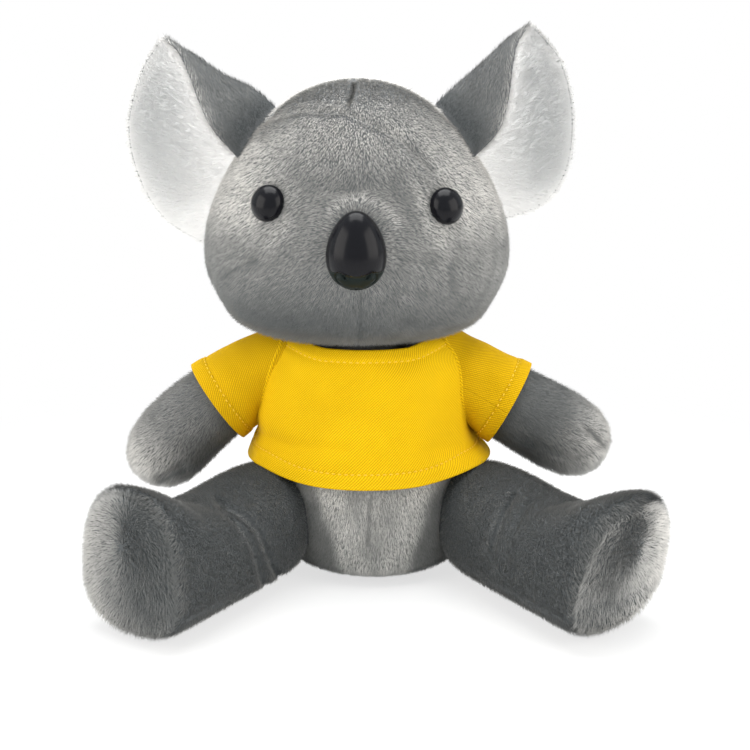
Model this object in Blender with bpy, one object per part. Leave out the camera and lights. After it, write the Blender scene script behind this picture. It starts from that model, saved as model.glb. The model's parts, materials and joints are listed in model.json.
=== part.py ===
"""A seated plush koala in a T-shirt, made as covers, fillings, fittings and knitwear.

The toy faces -Y and sits on the floor at Z = 0. Its own left is at +X, but every piece is
named by the side on which a viewer in front sees it: left is -X and right is +X.
"""

import math

import bmesh
import bpy
import numpy as np
from mathutils import Matrix, Vector

MM = 0.001

# Clearances
TOUCH = 0.3 * MM
SHALLOW_TOUCH = 0.1 * MM
FILLING_GAP = 0.7 * MM
OVERRUN = 120 * MM

# Fabrics
PLUSH = 1.6 * MM
EAR_PILE = 2.2 * MM
EAR_LAYER_GAP = 0.5 * MM
KNIT = 1.2 * MM

# Body: a pear, widest near the seat, cut flat at the floor and where the neck stands on it
TORSO_HALF_WIDTH = 35 * MM
TORSO_FRONT = 34 * MM
TORSO_BACK = 29 * MM
TORSO_TALL = 88 * MM
TORSO_TOP_SHARE = 0.8352
TORSO_TOP_CUT = TORSO_TALL * TORSO_TOP_SHARE
TORSO_SIDE_SEAM = 4 * MM
FLOOR_PRESS = 1.6 * MM
NECK_LEAN = 5.5 * MM
TORSO_WIDTH_SHARES = (2.0, 1.82, 1.28, 1.08, 1.0, 1.04, 1.2, 1.3, 1.4)
TORSO_FRONT_SHARES = (2.3, 2.15, 1.36, 1.08, 0.98, 0.97, 1.08, 1.15, 1.2)
TORSO_BACK_SHARES = (2.0, 1.85, 1.3, 1.08, 1.0, 1.0, 1.14, 1.25, 1.3)

# Neck: a stuffed ball that stands on the body and carries the head
NECK_RADIUS = 22 * MM
NECK_RISE = 15.5 * MM

# Head: broad at the cheeks and flat below, narrower at the crown
HEAD_HALF_WIDTH = 51 * MM
HEAD_FRONT = 38 * MM
HEAD_BACK = 36 * MM
HEAD_TALL = 88 * MM
HEAD_SEAT = 3.8 * MM
HEAD_BOTTOM = TORSO_TOP_CUT + HEAD_SEAT
HEAD_SHIFT = 6 * MM
HEAD_FORWARD = 2 * MM
HEAD_WIDTH_SHARES = (2.0, 1.68, 1.26, 1.08, 0.96, 0.87, 0.82, 0.835, 0.85)
HEAD_FRONT_SHARES = (2.0, 1.6, 1.24, 1.1, 1.02, 0.95, 0.89, 0.86, 0.85)
HEAD_BACK_SHARES = (2.0, 1.45, 1.12, 1.0, 0.97, 0.95, 0.93, 0.9, 0.88)

# Eyes and nose: moulded domes on stems, locked by washers behind the face cover
EYE_RADIUS = 5.8 * MM
EYE_DOME = 4.6 * MM
EYE_SPREAD = 29 * MM
EYE_HEIGHT = 51.3 * MM
NOSE_HALF_WIDTH = 10.6 * MM
NOSE_HALF_HEIGHT = 13 * MM
NOSE_DOME = 8.6 * MM
NOSE_HEIGHT = 37.8 * MM
NOSE_WIDTH_SHARES = (1.0, 1.12, 1.1, 1.06, 1.0, 0.94, 0.88, 0.85, 0.85)
STEM_RADIUS = 1.6 * MM
STEM_LENGTH = 9 * MM
WASHER_RADIUS = 6.4 * MM
WASHER_THICK = 1.2 * MM

# Ears: two layers of cloth, cupped, sewn along the side of the head
EAR_TALL = 70 * MM
EAR_FOLD_DEG = 10
EAR_TIP_THINNING = 0.8
EAR_ANCHOR_SHARES = (0.785, 0.0, 0.649)
EAR_HINGE_TOP_SHARES = {"left": (-0.18, -0.11, 0.26), "right": (-0.19, -0.11, 0.28)}
EAR_HINGE_BOTTOM_SHARES = {"left": (0.16, -0.09, -0.42), "right": (0.16, -0.09, -0.28)}
# Each line is one curve from the head to the tip: front rim, spine, back and outer rim.
# A point is its share of the ear's height outward, forward and up from the anchor.
EAR_SHEET_SHARES = {
    "left": (
        ((-0.06, 0.11, 0.02), (0.09, 0.16, 0.20), (0.15, 0.13, 0.31), (0.20, 0.09, 0.44),
         (0.25, 0.04, 0.54), (0.30, 0.00, 0.59)),
        ((-0.26, -0.09, 0.19), (-0.09, -0.10, 0.34), (0.06, -0.07, 0.42), (0.19, -0.06, 0.51),
         (0.27, -0.04, 0.56), (0.315, -0.03, 0.605)),
        ((-0.11, -0.14, -0.09), (0.11, -0.26, -0.05), (0.26, -0.27, 0.12), (0.34, -0.21, 0.31),
         (0.35, -0.11, 0.47), (0.335, -0.04, 0.60)),
        ((0.04, -0.07, -0.44), (0.33, -0.13, -0.29), (0.465, -0.13, -0.08), (0.51, -0.10, 0.18),
         (0.44, -0.06, 0.45), (0.355, -0.03, 0.585)),
    ),
    "right": (
        ((-0.09, 0.11, 0.01), (0.08, 0.16, 0.19), (0.13, 0.13, 0.34), (0.15, 0.09, 0.48),
         (0.17, 0.04, 0.58), (0.21, 0.00, 0.65)),
        ((-0.27, -0.09, 0.21), (-0.07, -0.10, 0.39), (0.04, -0.07, 0.49), (0.13, -0.06, 0.58),
         (0.19, -0.04, 0.63), (0.23, -0.03, 0.665)),
        ((-0.11, -0.14, -0.08), (0.13, -0.26, -0.01), (0.24, -0.27, 0.15), (0.29, -0.21, 0.38),
         (0.28, -0.11, 0.55), (0.25, -0.04, 0.66)),
        ((0.06, -0.07, -0.28), (0.30, -0.13, -0.21), (0.42, -0.13, -0.05), (0.45, -0.10, 0.22),
         (0.39, -0.06, 0.49), (0.27, -0.03, 0.645)),
    ),
}

# Arms: stuffed sausages from a ball at the shoulder
SHOULDER_OUT = 32 * MM
SHOULDER_SHARE = 0.733
SHOULDER_HEIGHT = TORSO_TALL * SHOULDER_SHARE
ARM_RADIUS = 12.5 * MM
ARM_REACH = {"left": 56 * MM, "right": 58 * MM}
ARM_FORWARD_DEG = 4
ARM_DROP_DEG = {"left": (-25, -58), "right": (-29, -29)}
ARM_LOWER_DEG = 6
ARM_RAISE_DEG = 35
ARM_CLEARANCE = 0.8 * MM
# Along the reach, then half width, rise and drop as shares of the ball's radius
ARM_SHARES = (
    (0.12, 1.0, 1.0, 1.0),
    (0.30, 1.06, 1.06, 1.06),
    (0.50, 1.10, 1.12, 1.12),
    (0.68, 1.12, 1.14, 1.14),
    (0.82, 1.02, 1.06, 1.06),
    (0.92, 0.80, 0.82, 0.82),
    (0.98, 0.46, 0.48, 0.48),
)

# Legs: a round thigh that lies on the floor and swells into an upturned foot
HIP_OUT = 29.5 * MM
HIP_FORWARD = 4 * MM
HIP_HEIGHT = 18.5 * MM
LEG_RADIUS = 16.5 * MM
LEG_REACH = 97 * MM
LEG_SPLAY_DEG = {"left": 30.5, "right": 30.5}
LEG_INWARD_DEG = 2
LEG_OUTWARD_DEG = 18
SOLE_TURN_DEG = {"left": 16, "right": 20}
SOLE_TILT_DEG = {"left": 0, "right": 18}
LEG_ROUNDNESS = 0.8
SOLE_DEPTH = 6 * MM
LEG_SHARES = (
    (0.10, 1.05, 1.20, 1.10),
    (0.24, 1.20, 1.16, 1.15),
    (0.42, 1.28, 1.03, 1.15),
    (0.58, 1.33, 1.02, 1.15),
    (0.72, 1.37, 1.28, 1.15),
    (0.83, 1.38, 1.68, 1.15),
    (0.92, 1.32, 1.86, 1.13),
    (0.975, 1.12, 1.62, 0.98),
    (0.995, 0.66, 1.02, 0.52),
)

# T-shirt: front and back panels round the body, and a sleeve on each arm
SHIRT_COLLAR = 3.3 * MM
SHIRT_TOP = TORSO_TOP_CUT + SHIRT_COLLAR
SHIRT_HEM_SHARE = 0.4114
SHIRT_HEM_FRONT = TORSO_TALL * SHIRT_HEM_SHARE
SHIRT_HEM_RISE = 4.6 * MM
SHIRT_HEM_RISE_DEPTH = 18 * MM
SHIRT_EASE = 2.6 * MM
SHIRT_EASE_HEIGHT = 16 * MM
SLEEVE_START = -7 * MM
SLEEVE_LENGTH = {"left": 18.5 * MM, "right": 20.5 * MM}
SLEEVE_EASE = 1.2 * MM

COLOURS = {
    "grey_plush": ((0.165, 0.172, 0.178), 0.95, 0.0),
    "pale_plush": ((0.30, 0.30, 0.295), 0.95, 0.0),
    "white_plush": ((0.80, 0.82, 0.85), 0.95, 0.0),
    "yellow_knit": ((0.80, 0.47, 0.01), 0.85, 0.0),
    "fibre": ((0.85, 0.85, 0.84), 1.0, 0.0),
    "black_gloss": ((0.008, 0.009, 0.011), 0.12, 0.0),
    "white_plastic": ((0.75, 0.75, 0.72), 0.4, 0.0),
}

SIDES = {"left": -1, "right": 1}
FLAT_ANGLE = math.radians(0.2)
COLUMNS = 22
FILLING_COLUMNS = 14


def clear_scene():
    """Remove every object, so that the script can be run again."""
    for thing in list(bpy.data.objects):
        bpy.data.objects.remove(thing, do_unlink=True)


def material(name):
    """The Principled material of that name."""
    found = bpy.data.materials.get(name)
    if found:
        return found
    colour, roughness, metallic = COLOURS[name]
    made = bpy.data.materials.new(name)
    made.use_nodes = True
    shader = made.node_tree.nodes["Principled BSDF"]
    shader.inputs["Base Color"].default_value = (*colour, 1.0)
    shader.inputs["Roughness"].default_value = roughness
    shader.inputs["Metallic"].default_value = metallic
    return made


def smooth_table(shares, at):
    """Read evenly spaced shares at 0..1 with a Catmull-Rom curve through them."""
    values = np.asarray(shares, dtype=float)
    last = len(values) - 1
    place = np.clip(np.asarray(at, dtype=float), 0, 1) * last
    index = np.minimum(place.astype(int), last - 1)
    t = place - index
    t = t.reshape(t.shape + (1,) * (values.ndim - 1))
    before = values[np.maximum(index - 1, 0)]
    here = values[index]
    there = values[index + 1]
    beyond = values[np.minimum(index + 2, last)]
    slope_in = (there - before) / 2
    slope_out = (beyond - here) / 2
    rise = there - here
    return here + t * slope_in + t**2 * (3 * rise - 2 * slope_in - slope_out) + t**3 * (
        slope_in + slope_out - 2 * rise
    )


def unit(vectors):
    """Vectors at length one."""
    return vectors / np.linalg.norm(vectors, axis=-1, keepdims=True)


def grown(grid, distance):
    """A closed grid of rings moved out along its own normals."""
    along = np.gradient(grid, axis=0)
    around = np.roll(grid, -1, axis=1) - np.roll(grid, 1, axis=1)
    normal = np.cross(around, along)
    normal[0] = normal[1].mean(axis=0)
    normal[-1] = normal[-2].mean(axis=0)
    normal = unit(normal)
    middle = grid.mean(axis=(0, 1))
    if np.sum(normal * (grid - middle)) < 0:
        normal = -normal
    return grid + distance * normal


def new_object(name, verts, faces, paint):
    """One object from points and faces, its faces turned outward."""
    mesh = bpy.data.meshes.new(name)
    mesh.from_pydata([tuple(v) for v in verts], [], faces)
    work = bmesh.new()
    work.from_mesh(mesh)
    bmesh.ops.triangulate(work, faces=work.faces)
    bmesh.ops.recalc_face_normals(work, faces=work.faces)
    work.to_mesh(mesh)
    work.free()
    mesh.shade_smooth()
    mesh.materials.append(material(paint))
    thing = bpy.data.objects.new(name, mesh)
    bpy.context.scene.collection.objects.link(thing)
    return thing


def ring_faces(rows, columns, offset=0):
    """Quads between neighbouring rings of a wrapped grid."""
    faces = []
    for row in range(rows - 1):
        for column in range(columns):
            after = (column + 1) % columns
            low = offset + row * columns
            high = low + columns
            faces.append((low + column, low + after, high + after, high + column))
    return faces


def closed_form(name, grid, paint="fibre"):
    """A closed solid from rings whose first and last ring are single points."""
    rows, columns = grid.shape[0] - 2, grid.shape[1]
    verts = [*grid[1:-1].reshape(-1, 3), grid[0, 0], grid[-1, 0]]
    faces = ring_faces(rows, columns)
    first, last = rows * columns, rows * columns + 1
    top = (rows - 1) * columns
    for column in range(columns):
        after = (column + 1) % columns
        faces.append((after, column, first))
        faces.append((top + column, top + after, last))
    return new_object(name, verts, faces, paint)


def tube_form(name, outer, inner, paint):
    """A tube with a wall, from an outer and an inner wrapped grid."""
    rows, columns = outer.shape[:2]
    verts = [*outer.reshape(-1, 3), *inner.reshape(-1, 3)]
    count = rows * columns
    faces = ring_faces(rows, columns) + ring_faces(rows, columns, count)
    for row in (0, rows - 1):
        for column in range(columns):
            after = (column + 1) % columns
            low = row * columns
            faces.append((low + column, low + after, count + low + after, count + low + column))
    return new_object(name, verts, faces, paint)


def sheet_form(name, front, back, paint):
    """A sheet with a thickness, from two open grids."""
    rows, columns = front.shape[:2]
    verts = [*front.reshape(-1, 3), *back.reshape(-1, 3)]
    count = rows * columns
    faces = []
    for layer in (0, count):
        for row in range(rows - 1):
            for column in range(columns - 1):
                low = layer + row * columns + column
                faces.append((low, low + 1, low + columns + 1, low + columns))
    edge = [(0, c) for c in range(columns)]
    edge += [(r, columns - 1) for r in range(1, rows)]
    edge += [(rows - 1, c) for c in range(columns - 2, -1, -1)]
    edge += [(r, 0) for r in range(rows - 2, 0, -1)]
    for here, there in zip(edge, edge[1:] + edge[:1]):
        a = here[0] * columns + here[1]
        b = there[0] * columns + there[1]
        faces.append((a, b, count + b, count + a))
    return new_object(name, verts, faces, paint)


def ball(name, centre, radius, rings=8, columns=16, clears=False):
    """A round ball whose corners lie on the radius or, where it clears, whose flats do."""
    if clears:
        radius = radius / math.cos(math.pi / columns) / math.cos(math.pi / rings / 2)
    turn = np.linspace(0, math.pi, rings + 1)[:, None]
    around = np.arange(columns)[None, :] * 2 * math.pi / columns
    grid = np.stack(
        [
            centre[0] + radius * np.sin(turn) * np.cos(around),
            centre[1] + radius * np.sin(turn) * np.sin(around),
            centre[2] - radius * np.cos(turn) * np.ones_like(around),
        ],
        axis=-1,
    )
    return closed_form(name, grid)


def block(name, low, high):
    """A box between two corners, used to cut."""
    corners = [(x, y, z) for x in (low[0], high[0]) for y in (low[1], high[1])
               for z in (low[2], high[2])]
    faces = [(0, 1, 3, 2), (4, 6, 7, 5), (0, 4, 5, 1), (2, 3, 7, 6), (0, 2, 6, 4), (1, 5, 7, 3)]
    return new_object(name, corners, faces, "fibre")


def aimed(point, direction):
    """The frame at a point whose Z runs along a direction and whose X stays level."""
    ahead = Vector(direction).normalized()
    across = Vector((0, 0, 1)).cross(ahead).normalized()
    upward = ahead.cross(across)
    frame = Matrix((across, upward, ahead)).transposed().to_4x4()
    frame.translation = Vector(point)
    return frame


def turned_ring(sides=12):
    """The corners of a round bar of radius one."""
    angle = np.arange(sides) * 2 * math.pi / sides
    return np.stack([np.cos(angle), np.sin(angle), np.zeros(sides)], axis=-1)


def rod(name, frame, *steps):
    """A round bar along the Z of a frame, from its steps of radius and distance."""
    ring = turned_ring()
    rise = np.array([0, 0, 1])
    walls = [ring * radius + rise * distance for radius, distance in steps]
    ends = [ring * 0 + rise * distance for _, distance in (steps[0], steps[-1])]
    made = closed_form(name, np.stack([ends[0], *walls, ends[1]]), "black_gloss")
    made.data.transform(frame)
    return made


def washer_form(name, frame, radius, hole, start, end):
    """A flat ring round the Z of a frame."""
    ring = turned_ring()
    rise = np.array([0, 0, 1])
    outer, inner = (np.stack([ring * size + rise * start, ring * size + rise * end])
                    for size in (radius, hole))
    made = tube_form(name, outer, inner, "white_plastic")
    made.data.transform(frame)
    return made


def combine(target, operation, others):
    """Boolean a piece with others in turn and bake the result, which keeps its material."""
    paint = target.data.materials[0]
    for other in others:
        step = target.modifiers.new(operation.lower(), "BOOLEAN")
        step.operation = operation
        step.solver = "EXACT"
        step.object = other
        bpy.context.view_layer.update()
        graph = bpy.context.evaluated_depsgraph_get()
        baked = bpy.data.meshes.new_from_object(target.evaluated_get(graph))
        work = bmesh.new()
        work.from_mesh(baked)
        bmesh.ops.dissolve_limit(work, angle_limit=FLAT_ANGLE, verts=work.verts,
                                 edges=work.edges)
        bmesh.ops.triangulate(work, faces=work.faces)
        work.to_mesh(baked)
        work.free()
        target.modifiers.clear()
        target.data = baked
    baked.materials.clear()
    baked.materials.append(paint)
    for face in baked.polygons:
        face.material_index = 0
    baked.set_sharp_from_angle(angle=math.radians(40))
    return target


def cut(target, *cutters):
    """Take the cutters' space out of a piece."""
    return combine(target, "DIFFERENCE", cutters)


def turned_about(point, axis, degrees):
    """The matrix that turns about an axis through a point."""
    away = Matrix.Translation(Vector(point))
    return away @ Matrix.Rotation(math.radians(degrees), 4, Vector(axis)) @ away.inverted()


def guide(thing):
    """Keep an object only as a cutter."""
    thing.hide_render = True
    thing.display_type = "WIRE"
    return thing


def egg_grid(rows, columns, base, tall, lean, half_width, front, back, shares):
    """Rings from the bottom of a stuffed form to its top.

    Height follows minus the cosine of the turn, and each half breadth is its size times the
    sine of the turn times its share there, so both ends close smoothly.
    """
    turn = np.linspace(0, math.pi, rows + 1)[:, None]
    share = turn / math.pi
    around = np.arange(columns)[None, :] * 2 * math.pi / columns
    height = tall * (1 - np.cos(turn)) / 2
    width = half_width * np.sin(turn) * smooth_table(shares[0], share)
    ahead = front * np.sin(turn) * smooth_table(shares[1], share)
    behind = back * np.sin(turn) * smooth_table(shares[2], share)
    depth = np.where(np.sin(around) < 0, ahead, behind)
    x = base[0] + lean * height / tall + width * np.cos(around)
    y = base[1] + depth * np.sin(around)
    z = base[2] + height + np.zeros_like(around)
    grid = np.stack([x, y, z], axis=-1)
    grid[0] = grid[0].mean(axis=0)
    grid[-1] = grid[-1].mean(axis=0)
    return grid


def torso_lean(height):
    """How far the body's middle has leaned to the left at a height."""
    return -NECK_LEAN * height / TORSO_TOP_CUT


def torso_grid(grow, rows=13, columns=COLUMNS):
    """The body's form, grown or shrunk, pressed flat on the floor."""
    shares = (TORSO_WIDTH_SHARES, TORSO_FRONT_SHARES, TORSO_BACK_SHARES)
    lean = torso_lean(TORSO_TALL)
    grid = egg_grid(rows, columns, (0, 0, -FLOOR_PRESS), TORSO_TALL, lean,
                    TORSO_HALF_WIDTH, TORSO_FRONT, TORSO_BACK, shares)
    if grow:
        grid = grown(grid, grow)
    grid[..., 2] = np.maximum(grid[..., 2], -min(grow, 0))
    return grid


def head_grid(grow, rows=14, columns=COLUMNS):
    """The head's form, grown or shrunk."""
    shares = (HEAD_WIDTH_SHARES, HEAD_FRONT_SHARES, HEAD_BACK_SHARES)
    grid = egg_grid(rows, columns, (-HEAD_SHIFT, -HEAD_FORWARD, HEAD_BOTTOM), HEAD_TALL, 0,
                    HEAD_HALF_WIDTH, HEAD_FRONT, HEAD_BACK, shares)
    return grown(grid, grow) if grow else grid


def face_point(across, height):
    """The point and outward direction on the face, from the head's middle and bottom."""
    def surface(u, v):
        turn = math.acos(1 - 2 * v / HEAD_TALL)
        share = turn / math.pi
        width = HEAD_HALF_WIDTH * math.sin(turn) * float(smooth_table(HEAD_WIDTH_SHARES, share))
        depth = HEAD_FRONT * math.sin(turn) * float(smooth_table(HEAD_FRONT_SHARES, share))
        reach = depth * math.sqrt(1 - (u / width) ** 2)
        return Vector((u - HEAD_SHIFT, -HEAD_FORWARD - reach, HEAD_BOTTOM + v))

    step = SHALLOW_TOUCH
    point = surface(across, height)
    level = surface(across + step, height) - surface(across - step, height)
    rise = surface(across, height + step) - surface(across, height - step)
    return point, level.cross(rise).normalized()


def halves(name_front, name_back, outer, inner, seam, paints):
    """Two shells of a stuffed form, parted at a seam across the toy."""
    made = []
    for name, side, paint in ((name_front, 1, paints[0]), (name_back, -1, paints[1])):
        shell = closed_form(name, outer, paint)
        near = seam - side * TOUCH / 2
        far = side * OVERRUN
        low, high = min(near, far), max(near, far)
        beyond = guide(block("beyond_" + name, (-OVERRUN, low, -OVERRUN),
                             (OVERRUN, high, 2 * OVERRUN)))
        core = guide(closed_form("core_" + name, inner))
        cut(shell, beyond, core)
        made.append(shell)
    return made


def limb_axis(start, side, forward_deg, drop_deg, reach):
    """A limb's place and directions as functions of the distance along it.

    The limb bends evenly from its first drop to its last in one upright plane.
    """
    lean = math.radians(forward_deg)
    out = np.array([side * math.cos(lean), -math.sin(lean), 0])
    first, last = (math.radians(angle) for angle in drop_deg)

    def at(distance):
        s = np.asarray(distance, dtype=float)[..., None]
        ahead = np.clip(s, 0, None)
        bend = (last - first) * ahead / reach
        middle = first + bend / 2
        chord = ahead * np.sinc(bend / (2 * math.pi))
        up = np.array([0, 0, 1])
        place = np.array(start) + chord * (np.cos(middle) * out + np.sin(middle) * up)
        angle = first + bend
        heading = np.cos(angle) * out + np.sin(angle) * up
        place = place + np.minimum(s, 0) * heading
        rise = np.cos(angle) * up - np.sin(angle) * out
        return place, heading, rise

    across = np.cross(out, [0, 0, 1])
    return at, across


def limb_grid(axis, reach, radius, shares, grow, floor=None, slants=(0, 0), roundness=1,
              columns=16):
    """Rings of a limb: the back of a ball, its swelling length and its round end.

    The end's face can be slanted across and upright. A roundness under one squares the rings.
    """
    at, across = axis
    back = np.radians(np.array([24, 46, 68, 90]))
    rows = [(-radius * math.cos(b), radius * math.sin(b), radius * math.sin(b),
             radius * math.sin(b)) for b in back]
    rows += [(reach * s, radius * w, radius * up, radius * down) for s, w, up, down in shares]
    along, width, rise, drop = (np.array(column) for column in zip(*rows))
    place, heading, upward = at(along)
    around = np.arange(columns) * 2 * math.pi / columns
    power = np.interp(along, [0, radius], [1, roundness])[:, None]
    level = np.sign(np.cos(around)) * np.abs(np.cos(around)) ** power
    steep = np.sign(np.sin(around)) * np.abs(np.sin(around)) ** power
    tall = np.where(steep > 0, rise[:, None], drop[:, None])
    sideways = width[:, None] * level
    upright = tall * steep
    grid = place[:, None, :] + sideways[..., None] * across + upright[..., None] * upward[:, None, :]
    slant = np.clip(along / reach, 0, 1)[:, None] ** 3
    slant = slant * (upright * slants[1] - sideways * slants[0])
    grid = grid + slant[..., None] * heading[:, None, :]
    root, root_heading, _ = at(-radius)
    tip, tip_heading, tip_rise = at(reach)
    tip = tip + (rise[-1] - drop[-1]) / 2 * tip_rise
    poles = [np.repeat(point[None, None, :], columns, axis=1) for point in (root, tip)]
    grid = np.concatenate([poles[0], grid, poles[1]])
    if grow:
        grid = grown(grid, grow)
    if floor is not None:
        grid[..., 2] = np.maximum(grid[..., 2], floor)
    return grid


def shoulder(side):
    """The middle of the shoulder ball."""
    sign = SIDES[side]
    return (torso_lean(SHOULDER_HEIGHT) + sign * SHOULDER_OUT, 0, SHOULDER_HEIGHT)


def hip(side):
    """The middle of the hip ball."""
    return (SIDES[side] * HIP_OUT, -HIP_FORWARD, HIP_HEIGHT)


def neck_middle():
    """The middle of the neck ball."""
    return (torso_lean(TORSO_TOP_CUT), 0, TORSO_TOP_CUT + NECK_RISE)


def arm_axis(side):
    """The bent middle line of an arm."""
    return limb_axis(shoulder(side), SIDES[side], ARM_FORWARD_DEG, ARM_DROP_DEG[side],
                     ARM_REACH[side])


def leg_axis(side):
    """The straight middle line of a leg."""
    return limb_axis(hip(side), SIDES[side], 90 - LEG_SPLAY_DEG[side], (0, 0), LEG_REACH)


def shirt_wall(height, around, out):
    """Points of the T-shirt's tube at a height and angle, out from its inner face."""
    turn = np.arccos(np.clip(1 - 2 * (height + FLOOR_PRESS) / TORSO_TALL, -1, 1))
    share = turn / math.pi
    loose = np.clip((SHIRT_HEM_FRONT + SHIRT_EASE_HEIGHT - height) / SHIRT_EASE_HEIGHT, 0, 1)
    grow = TOUCH + out + SHIRT_EASE * loose**2
    width = TORSO_HALF_WIDTH * np.sin(turn) * smooth_table(TORSO_WIDTH_SHARES, share) + grow
    ahead = TORSO_FRONT * np.sin(turn) * smooth_table(TORSO_FRONT_SHARES, share) + grow
    behind = TORSO_BACK * np.sin(turn) * smooth_table(TORSO_BACK_SHARES, share) + grow
    depth = np.where(np.sin(around) < 0, ahead, behind)
    return np.stack([torso_lean(height) + width * np.cos(around), depth * np.sin(around),
                     height], axis=-1)


def shirt_hem(around):
    """The hem's height: low in front and higher over the thighs and the back."""
    ahead = np.clip(-np.sin(around), 0, 1) * TORSO_FRONT
    rise = np.clip((TORSO_FRONT - ahead) / SHIRT_HEM_RISE_DEPTH, 0, 1)
    return SHIRT_HEM_FRONT + SHIRT_HEM_RISE * rise**2 * (3 - 2 * rise)


def shirt_panel(name, start_deg, end_deg, rows=8, columns=17):
    """Half of the T-shirt's body, from hem to neckline."""
    gap = TOUCH / 2 / TORSO_HALF_WIDTH
    around = np.linspace(math.radians(start_deg) + gap, math.radians(end_deg) - gap, columns)
    share = np.linspace(0, 1, rows)[:, None]
    hem = shirt_hem(around)[None, :]
    height = hem + (SHIRT_TOP - hem) * share
    turn = np.broadcast_to(around, height.shape)
    return sheet_form(name, shirt_wall(height, turn, KNIT), shirt_wall(height, turn, 0),
                      "yellow_knit")


def dressed_body(name, grow):
    """The space of the body with its T-shirt on, as a cutter for what lies against it."""
    rows = 20
    around = np.arange(COLUMNS) * 2 * math.pi / COLUMNS
    height = np.linspace(SHIRT_HEM_FRONT, SHIRT_TOP + TOUCH, rows)[:, None]
    height = height + np.zeros(COLUMNS)
    turn = np.broadcast_to(around, height.shape)
    wall = shirt_wall(height, turn, KNIT + grow)
    poles = [np.repeat(ring.mean(axis=0)[None, None, :], COLUMNS, axis=1)
             for ring in (wall[0], wall[-1])]
    return closed_form(name, np.concatenate([poles[0], wall, poles[1]]))


def make_body():
    """The body's covers and filling, with sockets for the neck and the four limbs."""
    outer = torso_grid(0)
    inner = torso_grid(-PLUSH)
    belly, rear = halves("torso_belly_panel", "torso_back_cover", outer, inner,
                         -TORSO_SIDE_SEAM, ("pale_plush", "grey_plush"))
    filling = closed_form("torso_filling", torso_grid(-PLUSH - FILLING_GAP,
                                                      columns=FILLING_COLUMNS), "fibre")
    above = guide(block("above_torso", (-OVERRUN, -OVERRUN, TORSO_TOP_CUT),
                        (OVERRUN, OVERRUN, OVERRUN)))
    sockets = [above]
    for side in SIDES:
        sockets.append(guide(ball("shoulder_socket_" + side, shoulder(side),
                                  ARM_RADIUS + TOUCH, clears=True)))
        sockets.append(guide(ball("hip_socket_" + side, hip(side), LEG_RADIUS + TOUCH,
                                  clears=True)))
    for piece in (belly, rear, filling):
        cut(piece, *sockets)


def make_neck():
    """The neck ball, cut flat where it stands on the body."""
    neck = ball("neck", neck_middle(), NECK_RADIUS, 12, 24)
    below = guide(block("below_neck", (-OVERRUN, -OVERRUN, -OVERRUN),
                        (OVERRUN, OVERRUN, TORSO_TOP_CUT + TOUCH)))
    cut(neck, below)
    neck.data.materials[0] = material("grey_plush")
    return neck


def fitting(name, point, outward, dome, head_space):
    """Finish a moulded dome on the face, and give the room it needs inside the head."""
    frame = aimed(point, -outward)
    cut(dome, head_space)
    stem = guide(rod("stem_of_" + name, frame, (STEM_RADIUS, -SHALLOW_TOUCH - STEM_RADIUS),
                     (STEM_RADIUS, STEM_LENGTH)))
    combine(dome, "UNION", [stem])
    near = PLUSH + WASHER_RADIUS**2 / (2 * HEAD_FRONT) + 2 * TOUCH
    far = near + WASHER_THICK
    washer_form(name + "_washer", frame, WASHER_RADIUS, STEM_RADIUS + TOUCH, near, far)
    slim = STEM_RADIUS + TOUCH
    wide = WASHER_RADIUS + TOUCH
    hole = guide(rod("hole_of_" + name, frame, (slim, -STEM_LENGTH), (slim, STEM_LENGTH + TOUCH)))
    room = guide(rod("room_of_" + name, frame, (wide, -STEM_LENGTH), (wide, far + TOUCH),
                     (slim, far + TOUCH), (slim, STEM_LENGTH + TOUCH)))
    return hole, room


def make_head():
    """The face and back covers, the filling, and the eyes and nose locked into the face."""
    outer = head_grid(0)
    face, rear = halves("head_face_cover", "head_back_cover", outer, head_grid(-PLUSH),
                        HEAD_FORWARD, ("grey_plush", "grey_plush"))
    filling = closed_form("head_filling", head_grid(-PLUSH - FILLING_GAP, 10,
                                                    FILLING_COLUMNS), "fibre")
    socket = guide(ball("neck_socket", neck_middle(), NECK_RADIUS + TOUCH, 12, 24, True))
    head_space = guide(closed_form("head_space", head_grid(TOUCH)))
    fittings = []
    for side, sign in SIDES.items():
        point, outward = face_point(sign * EYE_SPREAD, EYE_HEIGHT)
        dome = ball("eye_" + side, (0, 0, 0), EYE_RADIUS, 10, 16)
        dome.data.transform(Matrix.Diagonal((1, 1, EYE_DOME / EYE_RADIUS, 1)))
        dome.data.transform(aimed(point, -outward))
        dome.data.materials[0] = material("black_gloss")
        fittings.append(fitting("eye_" + side, point, outward, dome, head_space))
    point, outward = face_point(0, NOSE_HEIGHT)
    shares = (NOSE_WIDTH_SHARES,) * 3
    grid = egg_grid(10, 18, (0, 0, -NOSE_HALF_HEIGHT), 2 * NOSE_HALF_HEIGHT, 0,
                    NOSE_HALF_WIDTH, NOSE_DOME, NOSE_DOME, shares)
    nose = closed_form("nose", grid, "black_gloss")
    nose.data.transform(Matrix.Translation(point))
    fittings.append(fitting("nose", point, outward, nose, head_space))
    holes, rooms = zip(*fittings)
    cut(face, socket, *holes)
    cut(rear, socket)
    cut(filling, socket, *rooms)


def ear_point(side, shares):
    """A point of the ear from its shares outward, forward and up."""
    sign = SIDES[side]
    anchor = np.array([sign * HEAD_HALF_WIDTH * EAR_ANCHOR_SHARES[0] - HEAD_SHIFT,
                       HEAD_FRONT * EAR_ANCHOR_SHARES[1],
                       HEAD_BOTTOM + HEAD_TALL * EAR_ANCHOR_SHARES[2]])
    return anchor + np.asarray(shares) * EAR_TALL * np.array([sign, -1, 1])


def ear_hinge(side):
    """A point on the ear's base seam and the direction of the seam, bottom to top."""
    top = ear_point(side, EAR_HINGE_TOP_SHARES[side])
    bottom = ear_point(side, EAR_HINGE_BOTTOM_SHARES[side])
    return (top + bottom) / 2, unit(top - bottom)


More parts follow.
